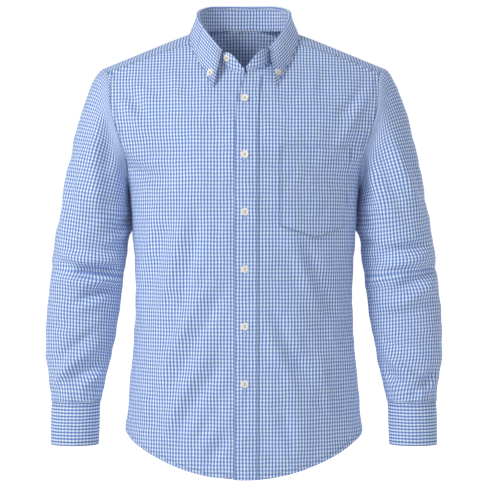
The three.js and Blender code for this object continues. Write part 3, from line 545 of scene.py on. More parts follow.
def ranged(wiring, value, fromEnds, toEnds, **settings):
    given = {"Value": value, "From Min": fromEnds[0], "From Max": fromEnds[1],
             "To Min": toEnds[0], "To Max": toEnds[1]}
    return wiring.add("ShaderNodeMapRange", given, **settings).outputs[0]


def bumped(wiring, distance, height, **more):
    given = {"Strength": 1.0, "Distance": distance, "Height": height, **more}
    return wiring.add("ShaderNodeBump", given).outputs[0]


def makeGingham():  # even checks of dyed and undyed threads, with soft edges between them
    group, wiring, given, out = newGroup(
        "gingham",
        [("Place", "Vector", None), ("Across", "Float", 0.0054), ("Along", "Float", 0.0062),
         ("White", "Color", (1, 1, 1, 1)), ("Warp Dye", "Color", (0.4, 0.5, 0.8, 1)),
         ("Weft Dye", "Color", (0.5, 0.6, 0.8, 1))],
        [("Color", "Color"), ("Dyed", "Float")],
    )
    drift = noiseOf(wiring, given["Place"], 26.0, 1.0)
    waver = wiring.math("MULTIPLY", wiring.math("SUBTRACT", drift, 0.5), 0.0022)
    apart = wiring.add("ShaderNodeSeparateXYZ", {0: given["Place"]}).outputs
    stripes = []
    for axis, repeat in (("X", "Across"), ("Y", "Along")):
        turns = wiring.math("DIVIDE", wiring.math("ADD", apart[axis], waver), given[repeat])
        fold = wiring.math("PINGPONG", turns, 0.5)
        stripes.append(ranged(wiring, fold, (0.215, 0.285), (0.0, 1.0), interpolation_type="SMOOTHSTEP"))
    dyed = given["White"]
    for stripe, dye in zip(stripes, ("Warp Dye", "Weft Dye")):
        dyed = blend(wiring, stripe, dyed, given[dye], blend_type="MULTIPLY")
    share = wiring.math("MULTIPLY", wiring.math("ADD", *stripes), 0.5)
    wiring.fill(out, {"Color": dyed, "Dyed": share})
    return group


def makeWeave():  # plain weave: threads over and under, with thicker ones here and there
    group, wiring, given, out = newGroup(
        "plainWeave",
        [("Place", "Vector", None), ("Thread", "Float", 0.00032)],
        [("Height", "Float"), ("Tone", "Float")],
    )
    apart = wiring.add("ShaderNodeSeparateXYZ", {0: given["Place"]}).outputs
    waves = []
    for axis in "XY":
        turns = wiring.math("DIVIDE", apart[axis], given["Thread"])
        waves.append(wiring.math("SINE", wiring.math("MULTIPLY", turns, math.pi)))
    crossing = wiring.math("MULTIPLY", *waves)
    slubs = []
    for stretch in ((2600, 60, 1), (60, 2600, 1)):
        drawn = wiring.add("ShaderNodeVectorMath", {0: given["Place"], 1: stretch}, operation="MULTIPLY")
        slubs.append(noiseOf(wiring, drawn.outputs[0], 1.0, 2.0))
    slub = wiring.math("SUBTRACT", wiring.math("ADD", *slubs), 1.0)
    rounded = wiring.math("MULTIPLY", crossing, 0.5)
    tone = wiring.math("ADD", 1.0, wiring.math("MULTIPLY", slub, 0.22))
    tone = wiring.math("ADD", tone, wiring.math("MULTIPLY", crossing, 0.04))
    wiring.fill(out, {"Height": wiring.math("ADD", rounded, slub), "Tone": tone})
    return group


def makeLife():  # washed cloth: faint unevenness of colour, and the small crumples of a worn shirt
    group, wiring, given, out = newGroup(
        "washedCloth",
        [("Place", "Vector", None)],
        [("Tone", "Float"), ("Crumple", "Float")],
    )
    broad = wiring.math("MULTIPLY", noiseOf(wiring, given["Place"], 9.0, 2.0), 0.7)
    close = wiring.math("MULTIPLY", noiseOf(wiring, given["Place"], 110.0, 3.0), 0.3)
    tone = ranged(wiring, wiring.math("ADD", broad, close), (0.3, 0.7), (0.95, 1.04))
    drag = noiseOf(wiring, given["Place"], 34.0, 3.0, Roughness=0.55, Distortion=0.6)
    wiring.fill(out, {"Tone": tone, "Crumple": drag})
    return group


def makeSeamGrooveAndShade():  # cloth drawn down along a row of stitches, with painted shade darkening the colour beside the stitches and along the piece's edges
    group, wiring, given, out = newGroup(
        "seamGrooveAndPaintedShade",
        [("From Stitches", "Float", 100.0), ("From Edge", "Float", 100.0), ("Shade", "Float", 0.2)],
        [("Tone", "Float"), ("Height", "Float")],
    )
    near = []
    for title, reach in (("From Stitches", (0.15, 1.5)), ("From Edge", (0.3, 1.1))):
        distance = wiring.math("ABSOLUTE", given[title])
        near.append(ranged(wiring, distance, reach, (1.0, 0.0), interpolation_type="SMOOTHSTEP"))
    either = wiring.math("MAXIMUM", *near)
    # painted shade: the colour darkens beside the stitches and along the edges, where raised edges and the
    # drawn-down seam would shade the cloth
    shade = wiring.math("MULTIPLY", either, given["Shade"])
    wiring.fill(out, {
        "Tone": wiring.math("SUBTRACT", 1.0, shade),
        "Height": wiring.math("SUBTRACT", 1.0, either),
    })
    return group


def newMaterial(name):
    material = bpy.data.materials.new(name)
    material.use_nodes = True
    shader = material.node_tree.nodes["Principled BSDF"]
    return material, Wiring(material.node_tree), shader


def used(wiring, group, given):  # the outputs of a node that stands for a group
    return wiring.add("ShaderNodeGroup", given, node_tree=group).outputs


ginghamGroup = makeGingham()
weaveGroup = makeWeave()
lifeGroup = makeLife()
seamGrooveAndShade = makeSeamGrooveAndShade()


def clothMaterial():
    look = {
        "white": (0.85, 0.895, 0.935, 1),
        "warpDye": (0.235, 0.36, 0.705, 1),
        "weftDye": (0.525, 0.635, 0.855, 1),
        "roughness": 0.82,
        "weaveHeight": 0.00006,
        "crumpleHeight": 0.0011,
        # how dark the painted shade beside stitches and edges is
        "paintedSeamShade": 0.3,
        "seamDepth": 0.0004,
    }
    material, wiring, shader = newMaterial("gingham")
    place = wiring.add("ShaderNodeUVMap", uv_map="cloth").outputs[0]
    body = wiring.add("ShaderNodeTexCoord").outputs["Object"]
    fromStitches, fromEdge = (wiring.add("ShaderNodeAttribute", attribute_name=attribute).outputs["Fac"]
                              for attribute in ("fromStitches", "fromEdge"))
    checks = used(wiring, ginghamGroup, {
        "Place": place,
        "Across": cloth["repeatAcross"] * mm,
        "Along": cloth["repeatAlong"] * mm,
        "White": look["white"],
        "Warp Dye": look["warpDye"],
        "Weft Dye": look["weftDye"],
    })
    weave = used(wiring, weaveGroup, {"Place": place})
    life = used(wiring, lifeGroup, {"Place": body})
    seam = used(wiring, seamGrooveAndShade, {
        "From Stitches": fromStitches,
        "From Edge": fromEdge,
        "Shade": look["paintedSeamShade"],
    })
    # the seam's tone is painted shade; the weave's and the washed cloth's tones are the cloth's own colour
    tone = wiring.math("MULTIPLY", wiring.math("MULTIPLY", weave["Tone"], life["Tone"]), seam["Tone"])
    tinted = wiring.add("ShaderNodeVectorMath", {0: checks["Color"], "Scale": tone}, operation="SCALE")
    crumpled = bumped(wiring, look["crumpleHeight"], life["Crumple"])
    sunk = bumped(wiring, look["seamDepth"], seam["Height"], Normal=crumpled)
    wiring.fill(shader, {
        "Base Color": tinted.outputs[0],
        "Roughness": wiring.math("ADD", wiring.math("MULTIPLY", checks["Dyed"], 0.06), look["roughness"]),
        "Normal": bumped(wiring, look["weaveHeight"], weave["Height"], Normal=sunk),
        "Specular IOR Level": 0.25,
        "Sheen Weight": 0.08,
        "Sheen Roughness": 0.5,
    })
    return material


threads = {
    "seamThread": {"pale": (0.62, 0.70, 0.88, 1), "shaded": (0.40, 0.50, 0.76, 1), "roughness": 0.6},
    "buttonThread": {"pale": (0.78, 0.73, 0.64, 1), "shaded": (0.50, 0.45, 0.37, 1), "roughness": 0.6},
}


def threadMaterial(name):
    look = threads[name]
    material, wiring, shader = newMaterial(name)
    body = wiring.add("ShaderNodeTexCoord").outputs["Object"]
    twist = wiring.add("ShaderNodeTexWave", {"Vector": body, "Scale": 900.0, "Distortion": 2.0},
                       bands_direction="DIAGONAL")
    wiring.fill(shader, {
        "Base Color": blend(wiring, twist.outputs["Fac"], look["shaded"], look["pale"]),
        "Normal": bumped(wiring, 0.00008, twist.outputs["Fac"]),
        "Roughness": look["roughness"],
    })
    return material


def buttonMaterial():
    look = {"cream": (0.92, 0.88, 0.79, 1), "cloud": (0.83, 0.785, 0.695, 1), "roughness": 0.24}
    material, wiring, shader = newMaterial("pearlButton")
    body = wiring.add("ShaderNodeTexCoord").outputs["Object"]
    swirl = ranged(wiring, noiseOf(wiring, body, 210.0, 3.0, Distortion=1.6), (0.35, 0.65), (0.0, 1.0))
    wornAway = noiseOf(wiring, body, 900.0, 2.0)
    ends = look["roughness"] - 0.06, look["roughness"] + 0.16
    wiring.fill(shader, {
        "Base Color": blend(wiring, swirl, look["cream"], look["cloud"]),
        "Roughness": ranged(wiring, wornAway, (0.0, 1.0), ends),
        "Normal": bumped(wiring, 0.00003, wornAway),
        "Coat Weight": 0.3,
        "Coat Roughness": 0.12,
    })
    return material


gingham = clothMaterial()
seamThread = threadMaterial("seamThread")
buttonThread = threadMaterial("buttonThread")
pearl = buttonMaterial()
print("finishes made")

# The two fronts
frontGrids = {}


def pucker(along, distance, depth=0.3):  # the small ripples beside a line of stitches
    ripple = np.sin(along * 0.72 + 1.9 * np.sin(along / 21)) * (0.6 + 0.4 * np.sin(along / 33 + 1))
    return depth * ripple * bell(distance / 6)


def hemHeight(along, fromHem):  # the turned-up hem stands a little proud, and ripples beside its stitches
    past = fromHem - front["hemFold"]
    return front["hemRise"] * (1 - smooth(past / 1.2)) + pucker(along, past)


def makeFront(side):
    levels = evenLevels(row["frontHem"], row["frontSeam"], 0.5, cloth["fine"])
    share = np.linspace(0, 1, front["columns"])
    starts = frontStart(side, levels)
    across = starts[:, None] + (1 - starts[:, None]) * share
    level = np.broadcast_to(levels[:, None], across.shape)
    finished, points, normals = clothSurface(side, across, level)
    spine = (smooth((levels - row["chest5"]) / 3) * front["spineColumn"]).astype(int)
    places = clothMap(points, *uprightGrain(normals), spine)
    frontGrids[side] = levels, share, places
    fromHem = places[..., 1] - places[0, :, 1]
    grid = finished + normals * hemHeight(places[..., 0], fromHem)[..., None]
    if side < 0:
        grid, places = grid[:, ::-1], places[:, ::-1]
    edges = {"first": seams["hem"], outerEdges[side]: seams["felled"]}
    node = "front_" + words[side].lower()
    addSheet("front" + words[side], node, [(grid, places)], cloth["wall"], edges=edges)


back = {"columns": 151}


def makeBack():
    levels = evenLevels(row["backSeam"], row["backHem"], 0.5, cloth["fine"])
    across, level = np.broadcast_arrays(np.linspace(-1, 1, back["columns"]), levels[:, None])
    finished, points, normals = clothSurface(1, across, level)
    places = clothMap(points, *uprightGrain(normals), back["columns"] // 2)
    fromHem = np.abs(places[-1, :, 1] - places[..., 1])
    grid = finished + normals * hemHeight(places[..., 0], fromHem)[..., None]
    edges = {"last": seams["hem"], "left": seams["felled"], "right": seams["felled"]}
    addSheet("backPanel", "back", [(grid, places)], cloth["wall"], edges=edges)


yoke = {"columns": 56, "spacing": 3, "raised": 0.5}


def makeYoke():
    levels = evenLevels(row["frontSeam"], row["backSeam"], 0.4, yoke["spacing"])
    levels = np.unique(np.concatenate([levels, [row["neckBack"]]]))
    parts = []
    for side in (1, -1):
        across, level = np.broadcast_arrays(np.linspace(0, 1, yoke["columns"]), levels[:, None])
        surface = partial(torsoPoint, side)
        points = surface(across, level)
        normals = normalOf(surface, across, level, side)
        weft = np.array((1.0, 0, 0)) * side
        along = unit(weft - normals * dot(normals, weft))
        places = clothMap(points[::-1], np.cross(along, normals)[::-1], along[::-1])[::-1, :, ::-1] * side
        lifted = points + normals * yoke["raised"]
        parts.append((lifted, places) if side > 0 else (lifted[:, ::-1], places[:, ::-1]))
    edges = {"first": seams["edge"], "last": seams["edge"]}
    addSheet("yokePanel", "yoke", parts, cloth["wall"] + yoke["raised"], edges=edges)


makeFront(1)
makeFront(-1)
makeBack()
makeYoke()
print("fronts, back and yoke built")

# The band on the edge of the left front
placket = {"width": 37.5, "foldedUnder": 0.75, "columns": 14}


def clothPlace(across, level):  # the place on the left front's flat cloth under a point of it
    levels, share, places = frontGrids[1]
    start = frontStart(1, level)
    column = np.clip((across - start) / (1 - start), 0, 1) * (len(share) - 1)
    line = np.interp(level, levels, np.arange(len(levels)))
    i = np.minimum(column.astype(int), len(share) - 2)
    j = np.minimum(line.astype(int), len(levels) - 2)
    f, g = (column - i)[..., None], (line - j)[..., None]
    upper = lerp(places[j + 1, i], places[j + 1, i + 1], f)
    return lerp(lerp(places[j, i], places[j, i + 1], f), upper, g)


def makePlacket():
    last = row["neckFront"] - 0.1
    levels = evenLevels(row["frontHem"], last, 0, cloth["fine"])
    start = frontStart(1, levels)
    slip = placket["foldedUnder"] * (edgeOffset(1, levels) - front["leftEdge"][0])
    end = acrossAt(edgeOffset(1, levels) + placket["width"] - slip, levels)
    across = start[:, None] + (end - start)[:, None] * np.linspace(0, 1, placket["columns"])
    level = np.broadcast_to(levels[:, None], across.shape)
    grid, points, normals = clothSurface(1, across, level, cloth["lap"])
    edges = {"left": seams["band"], "right": seams["band"]}
    addSheet("placketBand", "placket", [(grid, clothPlace(across, level))], cloth["wall"], edges=edges)


makePlacket()

# The chest pocket, seen from straight ahead: left and right edges, top, corners and the point
pocket = {
    "left": 58.5,
    "rightTop": 178,
    "rightLow": 166,
    "top": -198,
    "low": -328,
    "point": -348,
    "tip": 0.46,  # how far across the point lies
    "rows": 48,
    "columns": 41,
}


def locate(acrossOf, z):  # the place on the left front at a height
    low = np.full(np.shape(z), float(row["frontHem"]))
    high = np.full(np.shape(z), float(row["neckFront"]))
    for _ in range(halvings):
        level = (low + high) / 2
        below = halfTorso(acrossOf(level), level)[..., 2] < z
        low, high = np.where(below, level, low), np.where(below, high, level)
    return acrossOf(level), level


def pocketPlace(along, up):
    right = lerp(pocket["rightLow"], pocket["rightTop"], up)
    fromTip = np.maximum(1 - along / pocket["tip"], (along - pocket["tip"]) / (1 - pocket["tip"]))
    bottom = lerp(pocket["point"], pocket["low"], fromTip)

    def acrossOf(level):
        return lerp(acrossAt(pocket["left"], level), acrossAt(right, level), along)
    return locate(acrossOf, lerp(bottom, pocket["top"], up))


def makePocket():
    shares = np.linspace(0, 1, pocket["rows"]), np.linspace(0, 1, pocket["columns"])
    up, along = np.meshgrid(*shares, indexing="ij")
    across, level = pocketPlace(along, up)
    grid, points, normals = clothSurface(1, across, level, cloth["lap"])
    edges = {"left": seams["edge"], "right": seams["edge"], "first": seams["edge"]}
    addSheet("pocketPatch", "pocket", [(grid, clothPlace(across, level))], cloth["wall"], edges=edges)


makePocket()
print("placket and pocket built")

# The collar, row by row along the neckline from the front to the middle of the back.
# crest: top of the stand, or the fold once the leaf begins. edge: lower edge of the leaf.
crestRows = [
    (14, (1, -83, -68.5)),
    (14.4, (10, -82.5, -57.5)),
    (14.8, (20, -80, -45.5)),
    (15.2, (28.5, -76, -38.5)),
    (15.6, (37, -70.5, -33.5)),
    (16.4, (48.5, -61, -19.5)),
    (17.2, (59.5, -49, -4.5)),
    (18, (68, -35, 9)),
    (19, (74, -17, 21)),
    (20, (76.5, 5, 36)),
    (21, (72.5, 27, 45.5)),
    (22, (58.5, 46, 52.5)),
    (23, (32.5, 59, 54.7)),
    (24, (0, 62, 55)),
]
edgeRows = [
    (15.6, (52.3, -98, -95)),
    (16.4, (63, -86, -76)),
    (17.2, (74, -74, -56)),
    (18, (83, -60, -39)),
    (19, (91, -36, -18)),
    (20, (91.5, 5, 0)),
    (21, (86.5, 34, -1)),
    (22, (69, 59, 2)),
    (23, (38, 76, 5)),
    (24, (0, 81, 6)),
]
collar = {
    "wall": 1.3,
    "rollRadius": 3,
    "riseToFold": 6,  # the leaf is sewn to the stand this far below the fold
    "clearance": 1.2,
    "leafStart": 15.6,
    "billow": 7,  # how far the leaf's front rolls out between its fold and its button
    "foldRow": 8,
    "inside": -1.6,  # where the fold's inner side lies from the crest
    "steady": 0.35,  # how long the leaf's curves hold their first and last directions
    "outward": 0.45,
    "standWall": 1.5,
    "standFoot": 0.5,
    "standRows": 14,
}


def tableSpline(rows):
    path = splineThrough([places for at, places in rows])
    stops = [at for at, places in rows]
    return lambda at: path(np.interp(at, stops, np.arange(len(stops))))


crestPath = tableSpline(crestRows)
edgePath = tableSpline(edgeRows)


def mirrored(side, path, at):
    return settle(path(at) * (side, 1, 1))


def neckPoint(side, at):  # the neckline, with the lift and the tuck of the fronts
    onFront = np.minimum(at, row["frontSeam"])
    fronts = frontPoint(side, frontStart(side, onFront), onFront)
    return np.where((at <= row["frontSeam"])[..., None], fronts, torsoPoint(side, 0, at))


def neckMove(side, at):
    onFront = np.minimum(at, row["frontSeam"])
    start = frontStart(side, onFront)
    moved = frontPoint(side, start, onFront) - torsoPoint(side, start, onFront)
    return np.where((at <= row["frontSeam"])[..., None], moved, 0)


def crestPoint(side, at):
    return mirrored(side, crestPath, at) + neckMove(side, at)


def collarFrame(side, at):  # the neckline, the crest, and the directions up and out
    neck, crest = neckPoint(side, at), crestPoint(side, at)
    height = np.linalg.norm(crest - neck, axis=-1, keepdims=True)
    up = (crest - neck) / height
    low, high = np.maximum(at - 0.05, row["neckFront"]), np.minimum(at + 0.05, row["neckBack"])
    along = crestPoint(side, high) - crestPoint(side, low)
    atBack = (at >= row["neckBack"] - 0.02)[..., None]
    along = np.where(atBack, np.array((-side, 0.0, 0.0)), along)
    out = unit(np.cross(along, up)) * side
    return neck, crest, up, height, out


def roundNeck(build, levels):  # from the left end of the collar round the back to the right end
    left, right = build(1, levels), build(-1, levels)
    return np.concatenate([left, right[..., ::-1, :][..., 1:, :]], axis=-2)


def standPoints(share, side, at):
    neck, crest, up, height, out = collarFrame(side, at)
    leafOn = smooth((at - collar["leafStart"] + 0.4) / 0.4)[..., None]
    top = np.maximum(height - collar["riseToFold"] * leafOn, 3)
    return neck + up * lerp(collar["standFoot"], top, share)


def makeStand():
    levels = np.concatenate([np.linspace(14, 15, 16), np.linspace(15.1, 24, 80)])
    shares = np.linspace(0, 1, collar["standRows"])
    grid = np.stack([roundNeck(partial(standPoints, share), levels) for share in shares])
    rise = runningLength(grid)
    places = np.stack([np.broadcast_to(runningLength(grid[0]), rise.shape), rise], -1)
    addSheet("collarStand", "collar_stand", [(grid, places)], collar["standWall"])


def bodyTree():  # the outer faces of the body's panels, for laying the leaf on them
    points, faces = [], []
    for name in ("frontLeft", "frontRight", "yokePanel", "backPanel"):
        for grid in outerFaces[name]:
            base, columns = len(points), grid.shape[1]
            points += [Vector(point * mm) for point in grid.reshape(-1, 3)]
            starts = [base + j * columns + i for j in range(len(grid) - 1) for i in range(columns - 1)]
            faces += [[k, k + 1, k + 1 + columns, k + columns] for k in starts]
    return BVHTree.FromPolygons(points, faces)


def laidOn(points, tree, clearance, always):
    laid = points.copy().reshape(-1, 3)
    for k, point in enumerate(laid):
        place, normal = tree.find_nearest(Vector(point * mm))[:2]
        height = (Vector(point * mm) - place).dot(normal)
        if always or height < clearance * mm:
            laid[k] = point + np.array(normal) * (clearance - height / mm)
    return laid.reshape(points.shape)


def leafPoints(tree, side, at):
    neck, crest, up, height, out = collarFrame(side, at)
    roll, inside, steady = collar["rollRadius"], collar["inside"], collar["steady"]
    lift = collar["wall"] + collar["clearance"]
    rows = []
    for down in np.linspace(0, 0.1, 3):
        rows.append(crest + out * inside - up * lerp(collar["riseToFold"] - 0.5, roll, down / 0.1))
    for turn in np.linspace(0, math.pi, 12)[1:]:
        rows.append(crest + out * (inside + roll * (1 - math.cos(turn))) - up * roll * (1 - math.sin(turn)))
    top = rows[-1]
    edge = laidOn(mirrored(side, edgePath, at), tree, lift, True)
    fall = np.linalg.norm(edge - top, axis=-1, keepdims=True)
    first, second = top - up * steady * fall, lerp(edge, top, steady)
    frontness = (1 - smooth((at - collar["leafStart"]) / 4))[..., None] + 0.15
    rolled = (out * collar["outward"] + (0, -1, 0)) * collar["billow"] * frontness
    for f in np.linspace(0, 1, 26)[1:]:
        billow = rolled * math.sin(math.pi * f**0.85) * (1 - 0.5 * f)
        rows.append(laidOn(bezier(top, first, second, edge, f), tree, lift, False) + billow)
    return np.stack(rows)


def makeLeaf():
    levels = np.linspace(collar["leafStart"], row["neckBack"], 96)
    grid = roundNeck(partial(leafPoints, bodyTree()), levels)[:, ::-1]
    along, fall = runningLength(grid[collar["foldRow"]]), runningLength(grid)
    for _ in range(6):  # keeps the rows of checks smooth where the leaf is laid on the shoulder
        fall[:, 1:-1] = (fall[:, :-2] + fall[:, 1:-1] + fall[:, 2:]) / 3
    places = np.stack([fall, np.broadcast_to(along, fall.shape)], -1)
    edges = {"left": seams["collar"], "right": seams["collar"], "last": seams["collar"]}
    addSheet("collarLeaf", "collar_leaf", [(grid, places)], collar["wall"], edges=edges)


makeStand()
makeLeaf()
print("collar built")

# Sleeve rings from the biceps to the end of the cuff: middle, half width, half depth
sleeveRings = [
    ("biceps", (252.5, 0, -290), 55.5, 64),
    ("upper", (259.5, 3, -345), 60, 57),
    ("aboveElbow", (264.5, 5, -388), 62.5, 53),
    ("elbow", (266, 5, -406), 61, 50),
    ("belowElbow", (268.5, 5, -424), 62, 50.5),
    ("forearm1", (273, 4, -462), 61, 48.5),
    ("forearm2", (277.5, 3, -505), 59, 46),
    ("forearm3", (281.5, -1, -548), 55, 43),
    ("wrist1", (282.5, -4, -586), 47.5, 41),
    ("wrist2", (283.5, -6, -608), 43.2, 39),
    ("cuffTop", (284.5, -7, -622), 41, 38),
    ("cuffLow", (286.3, -12, -695.5), 40.5, 37.5),
]
ring = {name: k for k, (name, *sizes) in enumerate(sleeveRings)}
sleeve = {
    "capFullness": 0.42,
    "capDrop": 0.95,
    "gatherDepth": 1.7,
    "gatherReach": 48,
    "pitFold": {"angle": 215, "spread": 26, "z": -306, "reach": 44, "depth": 18},
    "columns": 120,
    "degree": 0.93,  # one degree round the arm, in millimetres
    "capRows": 66,
    "armRows": 106,
    "creaseFade": {"armhole": 30, "cuff": 16},  # creases die away this close to the seams
    "headRise": 1.1,  # the cloth turned under beside the armhole seam
    "puckerDepth": 0.35,
}
# Creases of each sleeve: depth, half width and places as (degrees round the arm, height).
# 0 is the outer side, 90 the front, 180 the inner side and 270 the back.
sleeveCreases = {
    -1: [
        (-2.6, 6, (20, -378), (40, -384), (62, -392), (84, -400)),
        (-7.5, 9, (66, -398), (90, -403), (130, -402), (172, -396)),
        (5.6, 9, (40, -370), (70, -379), (100, -384), (136, -382), (170, -376)),
        (5.6, 9, (40, -408), (74, -420), (100, -420), (128, -416), (164, -412)),
        (-7.0, 9, (72, -462), (98, -446), (124, -433), (150, -430), (178, -432)),
        (3.4, 9, (66, -476), (96, -462), (128, -448), (160, -444)),
        (-3.0, 7, (112, -372), (146, -358), (186, -346)),
        (2.8, 7, (112, -356), (146, -342), (190, -326)),
        (-2.6, 7, (126, -336), (156, -322), (196, -310)),
        (2.8, 10, (58, -92), (64, -150), (80, -220), (100, -300), (112, -350)),
        (-2.8, 10, (84, -100), (94, -160), (108, -220), (128, -290)),
        (5.4, 9, (142, -516), (112, -538), (82, -558), (52, -582), (28, -604)),
        (-5.0, 9, (154, -542), (120, -564), (90, -584), (64, -604)),
        (3.0, 7, (166, -566), (134, -582), (104, -600)),
        (-2.6, 8, (128, -496), (98, -518), (64, -544), (36, -570)),
        (2.2, 8, (30, -500), (60, -508), (92, -506)),
        (2.2, 9, (8, -200), (20, -260), (38, -320), (56, -366)),
        (-2.0, 9, (34, -210), (46, -270), (62, -330)),
    ],
    1: [
        (-4.6, 7, (36, -354), (66, -361), (98, -367), (130, -366)),
        (6.4, 10, (20, -368), (54, -377), (92, -388), (134, -402), (160, -412)),
        (-7.5, 9, (-4, -388), (22, -395), (50, -405), (80, -420), (104, -434), (136, -440)),
        (5.0, 9, (20, -424), (56, -436), (92, -452), (130, -460)),
        (3.0, 8, (96, -404), (130, -416), (166, -422)),
        (-2.8, 8, (40, -456), (74, -470), (112, -478), (146, -476)),
        (-2.6, 7, (116, -372), (150, -356), (188, -340)),
        (2.6, 7, (120, -350), (152, -334), (190, -318)),
        (3.4, 10, (128, -180), (126, -230), (118, -290), (100, -340)),
        (-3.4, 10, (100, -170), (96, -230), (84, -290), (66, -346)),
        (2.8, 9, (70, -160), (66, -220), (52, -280), (40, -330)),
        (-4.0, 9, (56, -88), (82, -130), (108, -176), (136, -226)),
        (-2.4, 9, (40, -180), (36, -240), (24, -300)),
        (4.2, 8, (150, -538), (126, -556), (100, -574), (76, -594), (60, -610)),
        (-3.8, 8, (30, -560), (52, -580), (78, -600), (100, -614)),
        (-3.6, 8, (158, -566), (132, -582), (108, -600)),
        (3.0, 8, (16, -572), (34, -590), (56, -608)),
        (-2.4, 9, (150, -510), (120, -526), (84, -540)),
        (2.0, 9, (20, -490), (60, -502), (110, -506)),
    ],
    0: [
        (-3.4, 9, (186, -396), (214, -388), (250, -390), (284, -398)),
        (3.0, 9, (190, -376), (222, -366), (258, -368), (300, -380)),
        (-2.6, 8, (192, -356), (226, -344), (262, -350)),
        (2.8, 9, (200, -420), (236, -414), (280, -420), (320, -430)),
        (-2.4, 10, (210, -452), (246, -456), (290, -470)),
        (2.4, 10, (232, -130), (240, -190), (246, -250)),
        (-2.4, 10, (262, -110), (266, -180), (268, -250), (272, -310)),
        (2.2, 10, (290, -120), (300, -190), (306, -270)),
        (2.6, 9, (214, -516), (236, -548), (250, -590)),
        (-2.6, 9, (300, -500), (290, -545), (284, -596)),
        (2.2, 9, (330, -470), (322, -520), (316, -576)),
        (-2.0, 9, (346, -420), (340, -480), (344, -540)),
        (1.9, 10, (340, -180), (346, -250), (352, -320)),
    ],
}
ringPath = splineThrough([middle for name, middle, wide, deep in sleeveRings])
ringSize = splineThrough([(wide, deep, 0) for name, middle, wide, deep in sleeveRings])
cuffHeight = sleeveRings[ring["cuffTop"]][1][2]


def ringPoint(at, angle, lift=0):
    at, angle = np.broadcast_arrays(np.asarray(at, float), np.asarray(angle, float))
    middle, size = ringPath(at), ringSize(at)
    down = unit(ringPath(at + 0.01) - ringPath(at - 0.01))
    down = np.where((at >= ring["cuffTop"])[..., None], np.array((0, 0, -1.0)), down)
    wide = unit(np.cross(down, (0, 1.0, 0)))
    deep = unit(np.cross(down, wide))
    fold = sleeve["pitFold"]
    near = bell((angle - math.radians(fold["angle"])) / math.radians(fold["spread"]))
    shift = fold["depth"] * near * bell((middle[..., 2] - fold["z"]) / fold["reach"])
    reach = np.maximum(cuffHeight + sleeve["gatherReach"] - middle[..., 2], 0) / sleeve["gatherReach"]
    gather = np.where(at > ring["cuffTop"], 0, sleeve["gatherDepth"] * reach * (1 - 0.5 * reach))
    wave = np.sin(6 * angle + 0.7) + 0.7 * np.sin(15 * angle + 2 * np.sin(2 * angle))
    out = gather * wave + lift
    points = middle + wide * ((size[..., 0] + out) * np.cos(angle))[..., None]
    points = points + deep * ((size[..., 1] + out) * np.sin(angle))[..., None]
    points[..., 0] -= shift
    return points


def armholeLevels(angles):  # levels round the armhole, from the ridge down the front and up the back
    downFront = np.linspace(row["ridge"], row["frontUnderarm"], 400)
    downBack = np.linspace(row["ridge"], row["backUnderarm"], 400)

    def reach(levels):
        length = runningLength(outerPath(levels))
        return length / length[-1]
    onFront = np.interp(angles / math.pi, reach(downFront), downFront)
    onBack = np.interp(2 - angles / math.pi, reach(downBack), downBack)
    return np.where(angles <= math.pi, onFront, onBack)


def capDirection(levels, angles):  # on along the torso, and outwards under the arm
    surface = partial(torsoPoint, 1)
    normal = normalOf(surface, np.ones(levels.shape), levels, 1)
    rim = outerPath(levels + 0.02) - outerPath(levels - 0.02)
    leaving = unit(np.cross(rim, normal))
    onward = surface(1, levels) - surface(0.95, levels)
    leaving = np.where(dot(leaving, onward) < 0, -leaving, leaving)
    lowest = bell((angles - math.pi) / 0.03)[..., None]
    leaving = unit(lerp(leaving, np.array((0, 0, 1.0)), lowest))
    under = np.maximum(-np.cos(angles), 0)[..., None] ** 2
    return unit(leaving + np.array((0.7, 0, 0)) * under)


def sleeveSurface(angles):  # the smooth sleeve, from the armhole to the cuff
    levels = armholeLevels(angles)
    direction = capDirection(levels, angles)
    start = torsoPoint(1, 1, levels) + direction * 0.5
    end = ringPoint(0, angles)
    reach = np.linalg.norm(end - start, axis=-1, keepdims=True)
    arriving = unit(ringPath(0.01) - ringPath(0)) * reach * sleeve["capDrop"]
    leaving = direction * reach * sleeve["capFullness"]
    cap = [hermite(start, leaving, end, arriving, f) for f in np.linspace(0, 1, sleeve["capRows"])[:-1]]
    arm = [ringPoint(at, angles) for at in np.linspace(0, ring["cuffTop"], sleeve["armRows"])]
    grid = np.stack(cap + arm)
    grid[-1, :, 2] += 0.5
    return grid


def roundTube(grid):  # outward normals of a closed tube whose last column repeats its first
    along = np.gradient(grid, axis=0)
    padded = np.concatenate([grid[:, -2:-1], grid, grid[:, 1:2]], axis=1)
    around = padded[:, 2:] - padded[:, :-2]
    return unit(np.cross(around, along))


def sleeveHeight(side, angles, heights):
    height = np.zeros(heights.shape)
    for turn in (-360, 0, 360):
        places = np.stack([(np.degrees(angles) + turn) * sleeve["degree"], heights], -1)
        for key in (side, 0):
            scaled = [(depth, width, *[(a * sleeve["degree"], z) for a, z in path])
                      for depth, width, *path in sleeveCreases[key]]
            height += creaseHeight(places, scaled)
    height += slack(np.sin(angles) * 52 * side + 31 * side, heights + 40 * np.cos(angles)) * 1.1
    return height * smooth((heights - cuffHeight) / sleeve["creaseFade"]["cuff"])


def onSide(side, grid, places):  # a piece built for the left, mirrored for the right
    if side > 0:
        return grid, places
    return grid[:, ::-1] * (-1, 1, 1), places[:, ::-1]


